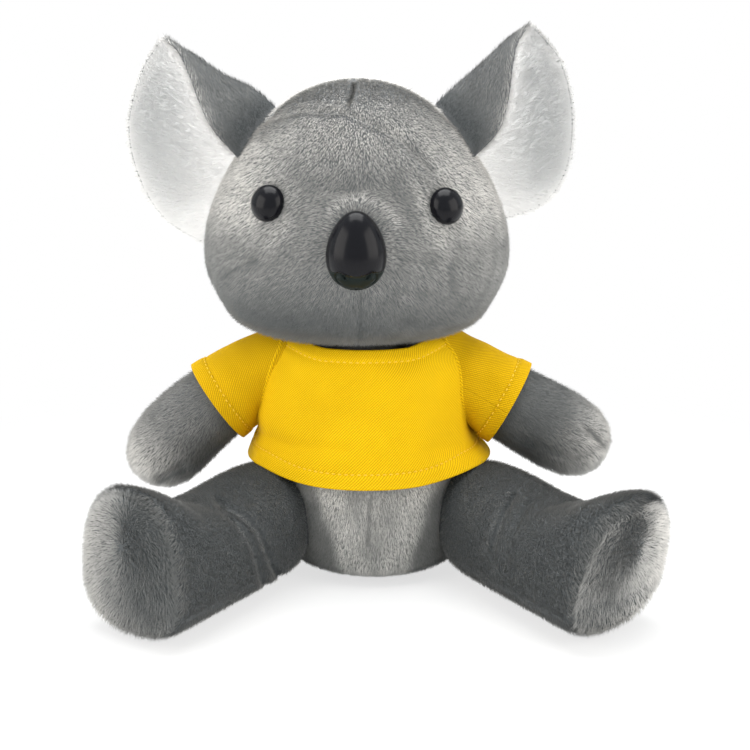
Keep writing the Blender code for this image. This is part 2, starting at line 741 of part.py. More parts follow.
def make_ear(side, rows=11, columns=9):
    """The two cloth layers of an ear, trimmed so that they clear the head as it folds."""
    curves = ear_point(side, EAR_SHEET_SHARES[side])
    along = np.stack([smooth_table(curve, np.linspace(0, 1, rows)) for curve in curves])
    sheet = smooth_table(along, np.linspace(0, 1, columns)).transpose(1, 0, 2)
    normal = unit(np.cross(np.gradient(sheet, axis=1), np.gradient(sheet, axis=0)))
    hollow = (sheet[:, 0] + sheet[:, -1]) / 2 - sheet[:, columns // 2]
    if np.sum(normal[:, columns // 2] * hollow) < 0:
        normal = -normal
    outer = sheet_form("ear_" + side + "_outer", sheet, sheet - normal * PLUSH, "grey_plush")
    thin_out = (1 - EAR_TIP_THINNING * np.linspace(0, 1, rows) ** 2)[:, None, None]
    lining = sheet_form("ear_" + side + "_lining", sheet + normal * EAR_LAYER_GAP,
                        sheet + normal * (EAR_LAYER_GAP + EAR_PILE * thin_out), "white_plush")
    point, seam = ear_hinge(side)
    swings = []
    for sign, finer in ((-1, 1), (1, 2), (0, 0)):
        space = guide(closed_form(f"head_space_{side}_{sign}",
                                  head_grid((1 + finer) * TOUCH, 14 - finer,
                                            COLUMNS + 2 * finer)))
        space.data.transform(turned_about(point, seam, sign * EAR_FOLD_DEG))
        swings.append(space)
    cut(outer, *swings)
    cut(lining, *swings)


def make_arm(side):
    """An arm's cover and filling, clear of the dressed body but for the ball in its socket."""
    axis = arm_axis(side)
    reach = ARM_REACH[side]
    cover = closed_form(f"arm_{side}_cover", limb_grid(axis, reach, ARM_RADIUS, ARM_SHARES, 0),
                        "grey_plush")
    inner = guide(closed_form("inside_arm_" + side,
                              limb_grid(axis, reach, ARM_RADIUS, ARM_SHARES, -PLUSH)))
    filling = closed_form(f"arm_{side}_filling",
                          limb_grid(axis, reach, ARM_RADIUS, ARM_SHARES,
                                    -PLUSH - FILLING_GAP, columns=10), "fibre")
    place, heading, _ = axis[0](0)
    root = guide(rod("root_of_arm_" + side, aimed(place, heading),
                     (ARM_RADIUS / 2, -2 * ARM_RADIUS), (ARM_RADIUS / 2, -ARM_RADIUS / 2)))
    socket = guide(ball("ball_of_arm_" + side, shoulder(side), ARM_RADIUS + SHALLOW_TOUCH,
                        clears=True))
    bodies = []
    for pose, degrees in (("resting", 0), ("lowered", ARM_LOWER_DEG), ("raised", -ARM_RAISE_DEG)):
        body = guide(dressed_body(f"body_by_{pose}_arm_{side}", ARM_CLEARANCE))
        body.data.transform(turned_about(shoulder(side), (0, -SIDES[side], 0), degrees))
        bodies.append(body)
    body = combine(bodies[0], "UNION", bodies[1:])
    cut(body, socket)
    cut(cover, inner, root, body)
    cut(filling, body)


def make_sleeve(side, rows=5, columns=18):
    """A sleeve round the arm, trimmed where it lies against the body panels."""
    axis = arm_axis(side)
    at, across = axis
    reach = ARM_REACH[side]
    along = np.linspace(SLEEVE_START, SLEEVE_LENGTH[side], rows)
    place, _, rise = at(along)
    table = np.array([(0, 1.0, 1.0, 1.0), *ARM_SHARES])
    radius = ARM_RADIUS * np.interp(along / reach, table[:, 0], table[:, 2])
    loose = SLEEVE_EASE * (along - SLEEVE_START) / (SLEEVE_LENGTH[side] - SLEEVE_START)
    around = np.arange(columns) * 2 * math.pi / columns
    walls = []
    for out in (KNIT, 0):
        wide = (radius + loose + TOUCH + out)[:, None, None]
        ring = np.cos(around)[None, :, None] * across + np.sin(around)[None, :, None] * rise[:, None]
        walls.append(place[:, None, :] + wide * ring)
    sleeve = tube_form(f"shirt_sleeve_{side}", walls[0], walls[1], "yellow_knit")
    cut(sleeve, guide(dressed_body("body_by_sleeve_" + side, ARM_CLEARANCE)))


def make_leg(side):
    """A leg's cover, sole and filling, clear of the body but for the ball in its socket."""
    axis = leg_axis(side)
    turn = -SIDES[side] * math.tan(math.radians(SOLE_TURN_DEG[side]))
    tilt = math.tan(math.radians(SOLE_TILT_DEG[side]))

    def form(name, grow, paint="fibre"):
        grid = limb_grid(axis, LEG_REACH, LEG_RADIUS, LEG_SHARES, grow, -grow, (turn, tilt),
                         LEG_ROUNDNESS)
        if grow < -PLUSH:
            grid = np.delete(grid, -2, axis=0)
        return closed_form(name, grid, paint)

    cover = form(f"leg_{side}_cover", 0, "grey_plush")
    sole = form(f"leg_{side}_sole", 0, "grey_plush")
    filling = form(f"leg_{side}_filling", -PLUSH - FILLING_GAP)
    inner = guide(form("inside_leg_" + side, -PLUSH))
    at, across = axis
    place, heading, _ = at(0)
    root = guide(rod("root_of_leg_" + side, aimed(place, heading),
                     (LEG_RADIUS / 2, -2 * LEG_RADIUS), (LEG_RADIUS / 2, -LEG_RADIUS / 2)))
    seam, _, rise = at(LEG_REACH - SOLE_DEPTH)
    facing = heading + turn * across - tilt * rise
    wide = OVERRUN / 2
    beyond = guide(rod("beyond_sole_" + side, aimed(seam, facing), (wide, -TOUCH / 2),
                       (wide, OVERRUN)))
    before = guide(rod("before_sole_" + side, aimed(seam, facing), (wide, -OVERRUN),
                       (wide, TOUCH / 2)))
    clearance = TOUCH + LEG_RADIUS * math.sin(math.radians(LEG_INWARD_DEG))
    bodies = []
    for pose, degrees, lower in (("resting", 0, 0), ("spread", LEG_OUTWARD_DEG, TOUCH)):
        body = guide(closed_form(f"body_by_{pose}_leg_{side}", torso_grid(clearance)))
        body.data.transform(turned_about(hip(side), (0, 0, -SIDES[side]), degrees))
        body.data.transform(Matrix.Translation((0, 0, -lower)))
        bodies.append(body)
    body = combine(bodies[0], "UNION", bodies[1:])
    shirt = guide(dressed_body("shirt_by_leg_" + side, clearance))
    cut(body, guide(ball("ball_of_leg_" + side, hip(side), LEG_RADIUS + SHALLOW_TOUCH, 16, 32,
                         clears=True)))
    cut(cover, beyond, shirt, body, inner, root)
    cut(sole, before, inner)
    cut(filling, body)


def make_shirt():
    """The front and back panels, with round openings for the arms."""
    front = shirt_panel("shirt_front", 180, 360)
    back = shirt_panel("shirt_back", 0, 180)
    holes = [guide(ball("armhole_" + side, shoulder(side), ARM_RADIUS + TOUCH, clears=True))
             for side in SIDES]
    cut(front, *holes)
    cut(back, *holes)


def remove_guides():
    """Delete the cutters, whose cuts are baked."""
    for thing in list(bpy.data.objects):
        if thing.hide_render:
            bpy.data.objects.remove(thing, do_unlink=True)


def hang_on(parent_name, point, parent, names):
    """An empty at a joint that carries the named pieces."""
    joint = bpy.data.objects.new(parent_name, None)
    bpy.context.scene.collection.objects.link(joint)
    joint.location = Vector(point)
    if parent:
        joint.parent = parent
        joint.location = Vector(point) - parent.matrix_world.translation
    bpy.context.view_layer.update()
    for name in names:
        piece = bpy.data.objects[name]
        piece.data.transform(Matrix.Translation(-Vector(point)))
        piece.parent = joint
    return joint


def place_joints():
    """Put each moving piece under an empty that lies on its joint."""
    neck = hang_on("head_turn_joint", neck_middle(), None, ["neck"])
    on_head = ["head_face_cover", "head_back_cover", "head_filling", "nose", "nose_washer"]
    for side in SIDES:
        on_head += [f"eye_{side}", f"eye_{side}_washer"]
    head = hang_on("head_nod_joint", neck_middle(), neck, on_head)
    for side in SIDES:
        point, _ = ear_hinge(side)
        hang_on(f"ear_{side}_joint", point, head, [f"ear_{side}_outer", f"ear_{side}_lining"])
        hang_on(f"arm_{side}_joint", shoulder(side), None,
                [f"arm_{side}_cover", f"arm_{side}_filling", f"shirt_sleeve_{side}"])
        hang_on(f"leg_{side}_joint", hip(side), None,
                [f"leg_{side}_cover", f"leg_{side}_sole", f"leg_{side}_filling"])


def centre_on_floor():
    """Move the whole toy so that its bounding box is centred on the origin."""
    bpy.context.view_layer.update()
    solids = [thing for thing in bpy.data.objects if thing.type == "MESH"]
    corners = np.array([thing.matrix_world @ Vector(corner) for thing in solids
                        for corner in thing.bound_box])
    middle = (corners.min(axis=0) + corners.max(axis=0)) / 2
    for thing in bpy.data.objects:
        if thing.parent is None:
            thing.location -= Vector((middle[0], middle[1], 0))


def main():
    clear_scene()
    make_body()
    make_neck()
    make_head()
    for side in SIDES:
        make_ear(side)
        make_arm(side)
        make_sleeve(side)
        make_leg(side)
    make_shirt()
    remove_guides()
    place_joints()
    centre_on_floor()


main()
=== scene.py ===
"""A seated plush koala in a yellow T-shirt, on a white table in soft studio light."""
import json
import math

import bmesh
import bpy
import numpy as np
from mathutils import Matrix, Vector


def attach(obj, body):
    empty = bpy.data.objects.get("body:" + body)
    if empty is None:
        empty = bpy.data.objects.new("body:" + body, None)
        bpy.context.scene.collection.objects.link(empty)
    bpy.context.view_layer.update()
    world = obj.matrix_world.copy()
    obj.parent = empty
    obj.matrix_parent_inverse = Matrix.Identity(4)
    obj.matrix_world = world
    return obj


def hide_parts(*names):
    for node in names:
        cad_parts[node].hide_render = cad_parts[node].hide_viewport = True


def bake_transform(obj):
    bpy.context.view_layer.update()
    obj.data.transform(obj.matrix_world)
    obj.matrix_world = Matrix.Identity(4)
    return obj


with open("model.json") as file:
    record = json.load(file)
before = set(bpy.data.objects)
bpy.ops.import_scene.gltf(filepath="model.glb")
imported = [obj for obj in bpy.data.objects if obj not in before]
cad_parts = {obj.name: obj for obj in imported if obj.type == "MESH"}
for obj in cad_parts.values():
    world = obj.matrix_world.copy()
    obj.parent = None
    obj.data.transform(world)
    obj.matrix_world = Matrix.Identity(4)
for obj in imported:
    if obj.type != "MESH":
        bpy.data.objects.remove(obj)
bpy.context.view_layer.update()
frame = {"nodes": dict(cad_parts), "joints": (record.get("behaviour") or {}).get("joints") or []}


# Camera, lamps and table
# The toy sits on a white table and is seen straight on from a little above. A broad soft
# lamp hangs overhead, and two tall softboxes stand in front at both sides.

class Value:
    """A node's output that can be used in sums, so that a material reads like a formula."""

    def __init__(self, paint, socket):
        self.paint = paint
        self.socket = socket

    def math(self, operation, *others):
        return self.paint.node("ShaderNodeMath", {"operation": operation},
                               dict(enumerate(others)))

    def __add__(self, other):
        return self.math("ADD", self, other)

    def __sub__(self, other):
        return self.math("SUBTRACT", self, other)

    def __rsub__(self, other):
        return self.math("SUBTRACT", other, self)

    def __mul__(self, other):
        return self.math("MULTIPLY", self, other)

    __radd__ = __add__
    __rmul__ = __mul__


class Paint:
    """A material or world under construction."""

    def __init__(self, name, kind="materials"):
        self.material = getattr(bpy.data, kind).new(name)
        self.material.use_nodes = True
        self.tree = self.material.node_tree

    def node(self, kind, settings=None, inputs=None, output=0):
        """Add a node of a type, set it up, feed its sockets, and give one of its outputs."""
        made = self.tree.nodes.new(kind)
        for key, setting in (settings or {}).items():
            setattr(made, key, setting)
        for key, given in (inputs or {}).items():
            self.feed(made.inputs[key], given)
        return Value(self, made.outputs[output])

    def feed(self, socket, given):
        """Link a value to a socket, or set it, where a colour may come without its alpha."""
        if isinstance(given, Value):
            self.tree.links.new(given.socket, socket)
        elif socket.type == "RGBA" and len(given) == 3:
            socket.default_value = (*given, 1.0)
        else:
            socket.default_value = given

    def mix(self, share, first, second):
        """A colour between two, or their product where the share is the word multiply."""
        settings = {"data_type": "RGBA"}
        if share == "multiply":
            settings["blend_type"] = "MULTIPLY"
            share = 1.0
        return self.node("ShaderNodeMix", settings, {0: share, 6: first, 7: second}, 2)

    def band(self, given, low, high):
        """Nought below a value and one above another, smooth between them."""
        return self.node("ShaderNodeMapRange", {"interpolation_type": "SMOOTHSTEP"},
                         {"Value": given, "From Min": low, "From Max": high})

    def noise(self, scale, detail=2.0):
        """Cloudy noise, so many clouds to a metre of the object's own coordinates."""
        place = self.node("ShaderNodeTexCoord", {}, {}, "Object")
        return self.node("ShaderNodeTexNoise", {},
                         {"Vector": place, "Scale": scale, "Detail": detail})

    def axes(self, given):
        """The three numbers of a vector."""
        split = self.node("ShaderNodeSeparateXYZ", {}, {0: given}).socket.node
        return tuple(Value(self, split.outputs[index]) for index in range(3))

    def dress(self, **sockets):
        """Feed the shader's sockets, whose words are joined by _, and give the material."""
        shader = self.tree.nodes["Principled BSDF"]
        for key, given in sockets.items():
            self.feed(shader.inputs[key.replace("_", " ")], given)
        return self.material


joint_of = {joint["name"]: joint for joint in frame["joints"]}
neck_from_seat = np.array([-0.0055, 0.0, 0.089])
seat_middle = np.array(joint_of["head_turn"]["pos_m"]) - neck_from_seat
camera_rise = math.radians(13.0)
camera_away = 1.0
aim_height = 0.0885
view_px, focal_px, eye_row = 750.0, 3000.0, 303.0
film_width = 36.0
aim = seat_middle + np.array([0.0, 0.0, aim_height])
look = np.array([0.0, math.cos(camera_rise), -math.sin(camera_rise)])
camera_at = aim - camera_away * look


def put(name, data):
    """A new object in the scene."""
    thing = bpy.data.objects.new(name, data)
    bpy.context.scene.collection.objects.link(thing)
    return thing


camera = put("camera", bpy.data.cameras.new("camera"))
camera.location = camera_at
camera.rotation_euler = Vector(look).to_track_quat("-Z", "Y").to_euler()
camera.data.sensor_width = film_width
camera.data.lens = focal_px * film_width / view_px
camera.data.shift_y = -(view_px / 2 - eye_row) / view_px
camera.data.clip_start = 0.01
bpy.context.scene.camera = camera
bpy.context.scene.view_settings.view_transform = "Standard"


def placed(points):
    """Millimetres from the middle of the seat, as metres in the toy's frame."""
    return np.asarray(points, dtype=float) * 0.001 + seat_middle


def lamp(name, place, size, power, colour=(1.0, 1.0, 1.0)):
    """A rectangular area lamp that faces the middle of the toy."""
    light = bpy.data.lights.new(name, "AREA")
    light.shape = "RECTANGLE"
    light.size, light.size_y = size
    light.energy = power
    light.color = colour
    thing = put(name, light)
    thing.location = seat_middle + np.array(place)
    toward = Vector(aim) - thing.location
    thing.rotation_euler = toward.to_track_quat("-Z", "Y").to_euler()


lamp("overhead_lamp", (0.0, 0.15, 1.25), (1.2, 1.0), 25.0)
lamp("left_softbox", (-1.0, -0.5, 0.4), (0.95, 1.1), 12.0, (1.0, 0.95, 0.9))
lamp("right_softbox", (1.0, -0.5, 0.4), (0.95, 1.1), 11.0, (1.0, 0.95, 0.9))

# The room lights the toy softly, and it shows white to the camera and in polished parts.
room_light, room_shown = 0.62, 1.1
world = Paint("studio", "worlds")
seen, mirrored, through = (
    world.node("ShaderNodeLightPath", {}, {}, ray)
    for ray in ("Is Camera Ray", "Is Glossy Ray", "Is Transmission Ray"))
shown = seen.math("MAXIMUM", seen, mirrored.math("MAXIMUM", mirrored, through))
strength = shown * (room_shown - room_light) + room_light
for key, given in (("Color", (0.94, 1.0, 1.0)), ("Strength", strength)):
    world.feed(world.tree.nodes["Background"].inputs[key], given)
bpy.context.scene.world = world.material

# The camera sees the table as plain white, apart from a share of the toy's shadow nearby.
# Polished parts mirror the lit table, which is as white.
shadow_kept, shadow_near, shadow_far = 0.3, 0.06, 0.26
floor = Paint("white_table")
place = floor.node("ShaderNodeTexCoord", {}, {}, "Object")
distance = floor.node("ShaderNodeVectorMath", {"operation": "LENGTH"}, {0: place}, "Value")
white = floor.mix(floor.noise(90.0), (0.86, 0.86, 0.86), (0.9, 0.9, 0.9))
floor.dress(Base_Color=white, Roughness=0.7)
far = floor.band(distance, shadow_near, shadow_far) * shadow_kept + (1 - shadow_kept)
seen = floor.node("ShaderNodeLightPath", {}, {}, "Is Camera Ray")
glow = floor.node("ShaderNodeEmission", {}, {"Color": (1.0, 1.0, 1.0), "Strength": 1.0})
lit = Value(floor, floor.tree.nodes["Principled BSDF"].outputs[0])
mixed = floor.node("ShaderNodeMixShader", {}, {0: seen * far, 1: lit, 2: glow})
floor.feed(floor.tree.nodes["Material Output"].inputs["Surface"], mixed)
table = put("table", bpy.data.meshes.new("table"))
table.data.from_pydata([(-4, -4, 0), (4, -4, 0), (4, 4, 0), (-4, 4, 0)], [], [(0, 1, 2, 3)])
table.data.materials.append(floor.material)
table.location.z = -0.0005


# Body: covers of short grey plush, stuffed tight
# A pear of cloth with a paler panel over the belly, pressed flat where it sits. The pile is
# real geometry: slim hairs that lean the way the cloth was brushed.

def unit(vectors):
    """Vectors at length one."""
    return vectors / np.maximum(np.linalg.norm(vectors, axis=-1, keepdims=True), 1e-12)


def ease(values, low, high):
    """Nought at one value and one at another, by three squares less two cubes between."""
    t = np.clip((values - low) / (high - low), 0, 1)
    return t * t * (3 - 2 * t)


def bell(values, width):
    """One at nought, and e to minus the square of value over width away from it."""
    return np.exp(-(values / width) ** 2)


def read_shares(shares, at):
    """Read evenly spaced shares at nought to one along a Catmull-Rom curve through them.

    That is a cubic between two shares, whose slope at each is half the step between the
    shares on either side of it.
    """
    values = np.asarray(shares, dtype=float)
    last = len(values) - 1
    place = np.clip(np.asarray(at, dtype=float), 0, 1) * last
    index = np.minimum(place.astype(int), last - 1)
    t = (place - index).reshape(place.shape + (1,) * (values.ndim - 1))
    before, here = values[np.maximum(index - 1, 0)], values[index]
    there, beyond = values[index + 1], values[np.minimum(index + 2, last)]
    slope_in, slope_out = (there - before) / 2, (beyond - here) / 2
    rise = there - here
    return here + t * slope_in + t**2 * (3 * rise - 2 * slope_in - slope_out) + t**3 * (
        slope_in + slope_out - 2 * rise)


def photo_spot(points):
    """Where points in millimetres lie in the camera's view: their column and row.

    Each is its distance across or down from the line of sight, over its distance along it,
    times the focal length in pixels.
    """
    away = placed(points) - camera_at
    deep = away @ look
    up = np.array([0.0, math.sin(camera_rise), math.cos(camera_rise)])
    return np.stack([view_px / 2 + focal_px * away[..., 0] / deep,
                     eye_row - focal_px * (away @ up) / deep], axis=-1)


def near_line(points, spots, reach):
    """The bell of the distance in pixels from a line through spots of the camera's view."""
    here = photo_spot(points)
    apart = np.full(here.shape[:-1], 1e9)
    for start, end in zip(np.array(spots[:-1], dtype=float), np.array(spots[1:], dtype=float)):
        run = end - start
        along = np.clip(((here - start) @ run) / (run @ run), 0, 1)
        apart = np.minimum(apart, np.linalg.norm(here - start - along[..., None] * run, axis=-1))
    return bell(apart, reach)


def grid_normals(grid):
    """Outward unit normals of a wrapped grid of rings, from the slopes along and round it."""
    along = np.gradient(grid, axis=0)
    around = np.roll(grid, -1, axis=1) - np.roll(grid, 1, axis=1)
    normal = np.cross(around, along)
    normal[0] = normal[1].mean(axis=0)
    normal[-1] = normal[-2].mean(axis=0)
    normal = unit(normal)
    outward = np.sum(normal * (grid - grid.mean(axis=(0, 1)))) > 0
    return normal if outward else -normal


def half_breadths(turn, sizes, shares):
    """How far a stuffed form reaches to the side, ahead and behind at a turn from its foot.

    Each is its size times the sine of the turn times its share there.
    """
    return [size * np.sin(turn) * read_shares(share, turn / math.pi)
            for size, share in zip(sizes, shares)]


def egg(rows, columns, base, tall, lean, sizes, shares):
    """Rings of a stuffed form, bottom to top, whose height follows minus the turn's cosine."""
    turn = np.linspace(0, math.pi, rows)[:, None]
    around = np.arange(columns)[None, :] * 2 * math.pi / columns
    height = tall * (1 - np.cos(turn)) / 2
    width, ahead, behind = half_breadths(turn, sizes, shares)
    depth = np.where(np.sin(around) < 0, ahead, behind)
    grid = np.stack([base[0] + lean * height / tall + width * np.cos(around),
                     base[1] + depth * np.sin(around),
                     base[2] + height + 0 * around], axis=-1)
    grid[0], grid[-1] = grid[0].mean(axis=0), grid[-1].mean(axis=0)
    return grid


def egg_reach(points, base, tall, lean, sizes, shares):
    """How far out points are, as a share of a stuffed form's half breadth at their height."""
    height = points[..., 2] - base[2]
    turn = np.arccos(np.clip(1 - 2 * height / tall, -0.9999, 0.9999))
    width, ahead, behind = half_breadths(turn, sizes, shares)
    across = points[..., 0] - base[0] - lean * height / tall
    deep = points[..., 1] - base[1]
    reach = np.sqrt((across / width) ** 2 + (deep / np.where(deep < 0, ahead, behind)) ** 2)
    return np.where((height < 0) | (height > tall), 9.0, reach)


def new_mesh(name, points, faces, material):
    """A smooth object from points in millimetres and an array of equal-sided faces."""
    mesh = bpy.data.meshes.new(name)
    faces = np.asarray(faces, dtype=np.int32)
    mesh.vertices.add(len(points))
    mesh.vertices.foreach_set("co", placed(points).astype(np.float32).ravel())
    mesh.loops.add(faces.size)
    mesh.loops.foreach_set("vertex_index", faces.ravel())
    mesh.polygons.add(len(faces))
    starts = np.arange(len(faces), dtype=np.int32) * faces.shape[1]
    mesh.polygons.foreach_set("loop_start", starts)
    mesh.update(calc_edges=True)
    mesh.polygons.foreach_set("use_smooth", np.ones(len(faces), dtype=bool))
    mesh.materials.append(material)
    return put(name, mesh)


def quads(rows, columns, wrapped=False):
    """The quads of a grid, whose last column joins the first where it is wrapped."""
    row, column = np.meshgrid(np.arange(rows - 1), np.arange(columns - (not wrapped)),
                              indexing="ij")
    after = (column + 1) % columns
    low, high = row * columns, (row + 1) * columns
    return np.stack([low + column, low + after, high + after, high + column],
                    axis=-1).reshape(-1, 4)


def mend(thing, weld=True):
    """Join the points that lie at one place, and turn every face outward."""
    work = bmesh.new()
    work.from_mesh(thing.data)
    if weld:
        bmesh.ops.remove_doubles(work, verts=work.verts, dist=1e-6)
    bmesh.ops.recalc_face_normals(work, faces=work.faces)
    work.to_mesh(thing.data)
    work.free()


def closed_skin(name, grid, material):
    """A closed surface from rings whose first and last are single points."""
    faces = quads(*grid.shape[:2], wrapped=True)
    thing = new_mesh(name, grid.reshape(-1, 3), faces, material)
    mend(thing)
    thing.data.shade_smooth()
    return thing


def face_middles(thing):
    """The middles of a piece's faces, in millimetres from the middle of the seat."""
    middles = np.empty(len(thing.data.polygons) * 3)
    thing.data.polygons.foreach_get("center", middles)
    return (middles.reshape(-1, 3) - seat_middle) * 1000


def second_material(thing, material, mask):
    """Give some faces of a piece another material."""
    thing.data.materials.append(material)
    thing.data.polygons.foreach_set("material_index", mask.astype(np.int32))


def map_corners(thing, name, u, v):
    """A map of a piece from the u and v of its points."""
    layer = thing.data.uv_layers.new(name=name)
    corner = np.empty(len(thing.data.loops), dtype=np.int32)
    thing.data.loops.foreach_get("vertex_index", corner)
    spots = np.stack([u.ravel(), v.ravel()], axis=-1)[corner]
    layer.uv.foreach_set("vector", spots.astype(np.float32).ravel())


def waves(points, size, seed, width=3, count=20):
    """Smooth random vectors: a sum of cosines of about one length in random directions."""
    rng = np.random.default_rng(seed)
    heading = unit(rng.normal(size=(count, 3))) * 2 * math.pi / (
        size * rng.uniform(0.7, 1.5, (count, 1)))
    strength = rng.normal(size=(count, width)) / math.sqrt(count / 2)
    return np.cos(points @ heading.T + rng.uniform(0, 2 * math.pi, count)) @ strength


def scatter(grid, density, seed, normals=None):
    """Random points on a grid, so many to a square millimetre, with normals and shares.

    Each quad gets its area times the density, and each point is a blend of its corners. A
    grid that comes with no normals is wrapped round into rings.
    """
    rng = np.random.default_rng(seed)
    if normals is None:
        normals = grid_normals(grid)
        grid = np.concatenate([grid, grid[:, :1]], axis=1)
        normals = np.concatenate([normals, normals[:, :1]], axis=1)
    one, two = grid[1:, 1:] - grid[:-1, :-1], grid[1:, :-1] - grid[:-1, 1:]
    wanted = np.linalg.norm(np.cross(one, two), axis=-1) / 2 * density
    count = (wanted + rng.random(wanted.shape)).astype(int)
    row, column = np.nonzero(count > 0)
    row, column = (np.repeat(index, count[row, column]) for index in (row, column))
    a, b = rng.random((2, len(row), 1))
    spots = []
    for field in (grid, normals):
        low = field[row, column] * (1 - a) + field[row, column + 1] * a
        high = field[row + 1, column] * (1 - a) + field[row + 1, column + 1] * a
        spots.append(low * (1 - b) + high * b)
    share = np.stack([(row + b[:, 0]) / (grid.shape[0] - 1),
                      (column + a[:, 0]) / (grid.shape[1] - 1)], axis=-1)
    return spots[0], unit(spots[1]), share


def pile(name, body, material, roots, normals, comb, tone, seed, length=(1.6, 2.4),
         lean=0.98, width=0.25, stray=0.10, longer=1.0, tilt=0.15):
    """Hairs of plush as slim three-sided spikes.

    A hair's axis is its length times the cosine of its lean along the normal plus the sine
    along the comb, laid flat on the cloth. Its foot is a triangle, broad across the comb. On
    the map, u is the hair's tone and v its height from root to tip. Strays stand up more.
    Light falls on hairs as on the cloth, tilted a share of the way along the comb.
    """
    rng = np.random.default_rng(seed)
    count = len(roots)
    comb = unit(comb) + 0.08 * waves(roots, 6.0, seed + 1) + 0.06 * waves(roots, 1.5, seed + 2)
    comb = comb + rng.normal(0, 0.12, (count, 3))
    up = rng.random(count) < stray
    lean = lean + 0.05 * waves(roots, 1.8, seed + 3, 1)[:, 0] + rng.normal(0, 0.10, count)
    lean = np.where(up, lean - 0.45, lean)[:, None]
    long = (rng.uniform(*length, count) * np.where(up, 0.85, 1.0) * longer)[:, None]
    tone = tone * (1 + 0.10 * waves(roots, 1.3, seed + 4, 1)[:, 0]
                   + 0.09 * waves(roots, 7.0, seed + 5, 1)[:, 0] + rng.normal(0, 0.13, count))
    flat = unit(comb - normals * np.sum(comb * normals, axis=-1, keepdims=True))
    axis = np.cos(lean) * normals + np.sin(lean) * flat
    side = unit(np.cross(axis, normals + 0.01 * flat)) * width / 2
    above = unit(np.cross(side, axis)) * width / 3
    foot = roots - 0.3 * normals
    points = np.stack([foot + side, foot - side, foot - above * 1.5, foot + axis * long],
                      axis=1).reshape(-1, 3)
    points[:, 2] = np.maximum(points[:, 2], 0.05)
    faces = 4 * np.arange(count)[:, None, None] + np.array(
        [(0, 1, 3), (1, 2, 3), (2, 0, 3), (0, 2, 1)])
    one, two, three = (points[index] - points[0] for index in (1, 2, 3))
    if np.cross(one, two) @ three < 0:
        faces = faces[:, :, ::-1]
    thing = new_mesh(name, points, faces.reshape(-1, 3), material)
    outward = np.stack([normals + tilt * flat] * 4, axis=1).reshape(-1, 3)
    thing.data.normals_split_custom_set_from_vertices(unit(outward))
    tone = np.clip(tone, 0, 1)[:, None] * 0.96 + 0.02
    u = np.concatenate([tone - 0.015, tone + 0.015, tone, tone], axis=1)
    map_corners(thing, "OFBake", u, np.broadcast_to([0.0, 0.0, 0.02, 1.0], u.shape))
    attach(thing, body)


def pile_material(name, dark, light, shade):
    """Plush pile: each hair's tone runs from dark to light, and its foot is painted darker, as
    painted shade among the hairs.
    """
    paint = Paint(name)
    spot = paint.node("ShaderNodeUVMap", {"uv_map": "OFBake"})
    tone, up, _ = paint.axes(spot)
    depth = paint.mix(up, (shade,) * 3, (1.0, 1.0, 1.0))
    return paint.dress(Base_Color=paint.mix("multiply", paint.mix(tone, dark, light), depth),
                       Roughness=0.75, Sheen_Weight=0.2, Sheen_Roughness=0.4,
                       Specular_IOR_Level=0.15)


def backing_material(name, colour, darkest=0.6):
    """The cloth under the pile: mottled, and combed into fine short tufts."""
    paint = Paint(name)
    tufts, patches = paint.noise(1400.0, 3.0), paint.noise(120.0)
    tint = paint.mix(tufts * 0.6 + patches * 0.4, tuple(c * darkest for c in colour), colour)
    bump = paint.node("ShaderNodeBump", {},
                      {"Strength": 0.5, "Distance": 0.0004, "Height": tufts})
    return paint.dress(Base_Color=tint, Roughness=0.9, Normal=bump)


grey_pile = pile_material("grey_plush_pile", (0.034, 0.046, 0.052), (0.97, 0.945, 0.905), 0.55)
# The grey and pale backings are written darker than their pile, as painted shade deep among the
# hairs' roots.
grey_backing = backing_material("grey_plush_backing", (0.13, 0.137, 0.142))
pale_backing = backing_material("pale_plush_backing", (0.30, 0.30, 0.29))
pile_deep = 1.1
cloth_foot, body_top = 0.6, 73.0
panel_edge = -4.0

body_lean = -5.5 / 73.5
body_form = dict(base=(0.0, 0.0, -1.6), tall=88.0, lean=body_lean * 88.0,
                 sizes=(35.0, 34.0, 29.0),
                 shares=((2.0, 1.82, 1.28, 1.08, 1.0, 1.04, 1.2, 1.3, 1.4),
                         (2.3, 2.15, 1.36, 1.08, 0.98, 0.97, 1.08, 1.15, 1.2),
                         (2.0, 1.85, 1.3, 1.08, 1.0, 1.0, 1.14, 1.25, 1.3)))
belly_dart = [(370, 498), (368, 542)]
body_grid = egg(140, 160, **body_form)
dent = pile_deep + 1.0 * near_line(body_grid, belly_dart, 3.0) * (body_grid[..., 1] < 0)
body_grid -= grid_normals(body_grid) * dent[..., None]
body_grid[..., 2] = np.clip(body_grid[..., 2], cloth_foot, body_top)
torso = closed_skin("torso_skin", body_grid, pale_backing)
second_material(torso, grey_backing, face_middles(torso)[:, 1] > panel_edge)
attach(torso, "torso")
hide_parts("torso_belly_panel", "torso_back_cover", "torso_filling")

roots, normals, _ = scatter(body_grid, 6.0, 11)
under_shirt, on_table = 42.0, 1.4
bare = (roots[:, 2] < under_shirt) & (roots[:, 2] > on_table)
belly = bare & (roots[:, 1] < panel_edge - 0.4)
thinned = np.random.default_rng(12).random(len(roots)) < 0.55
rear = bare & (roots[:, 1] > panel_edge + 0.4) & thinned
down = np.array([0.0, 0.0, -1.0])
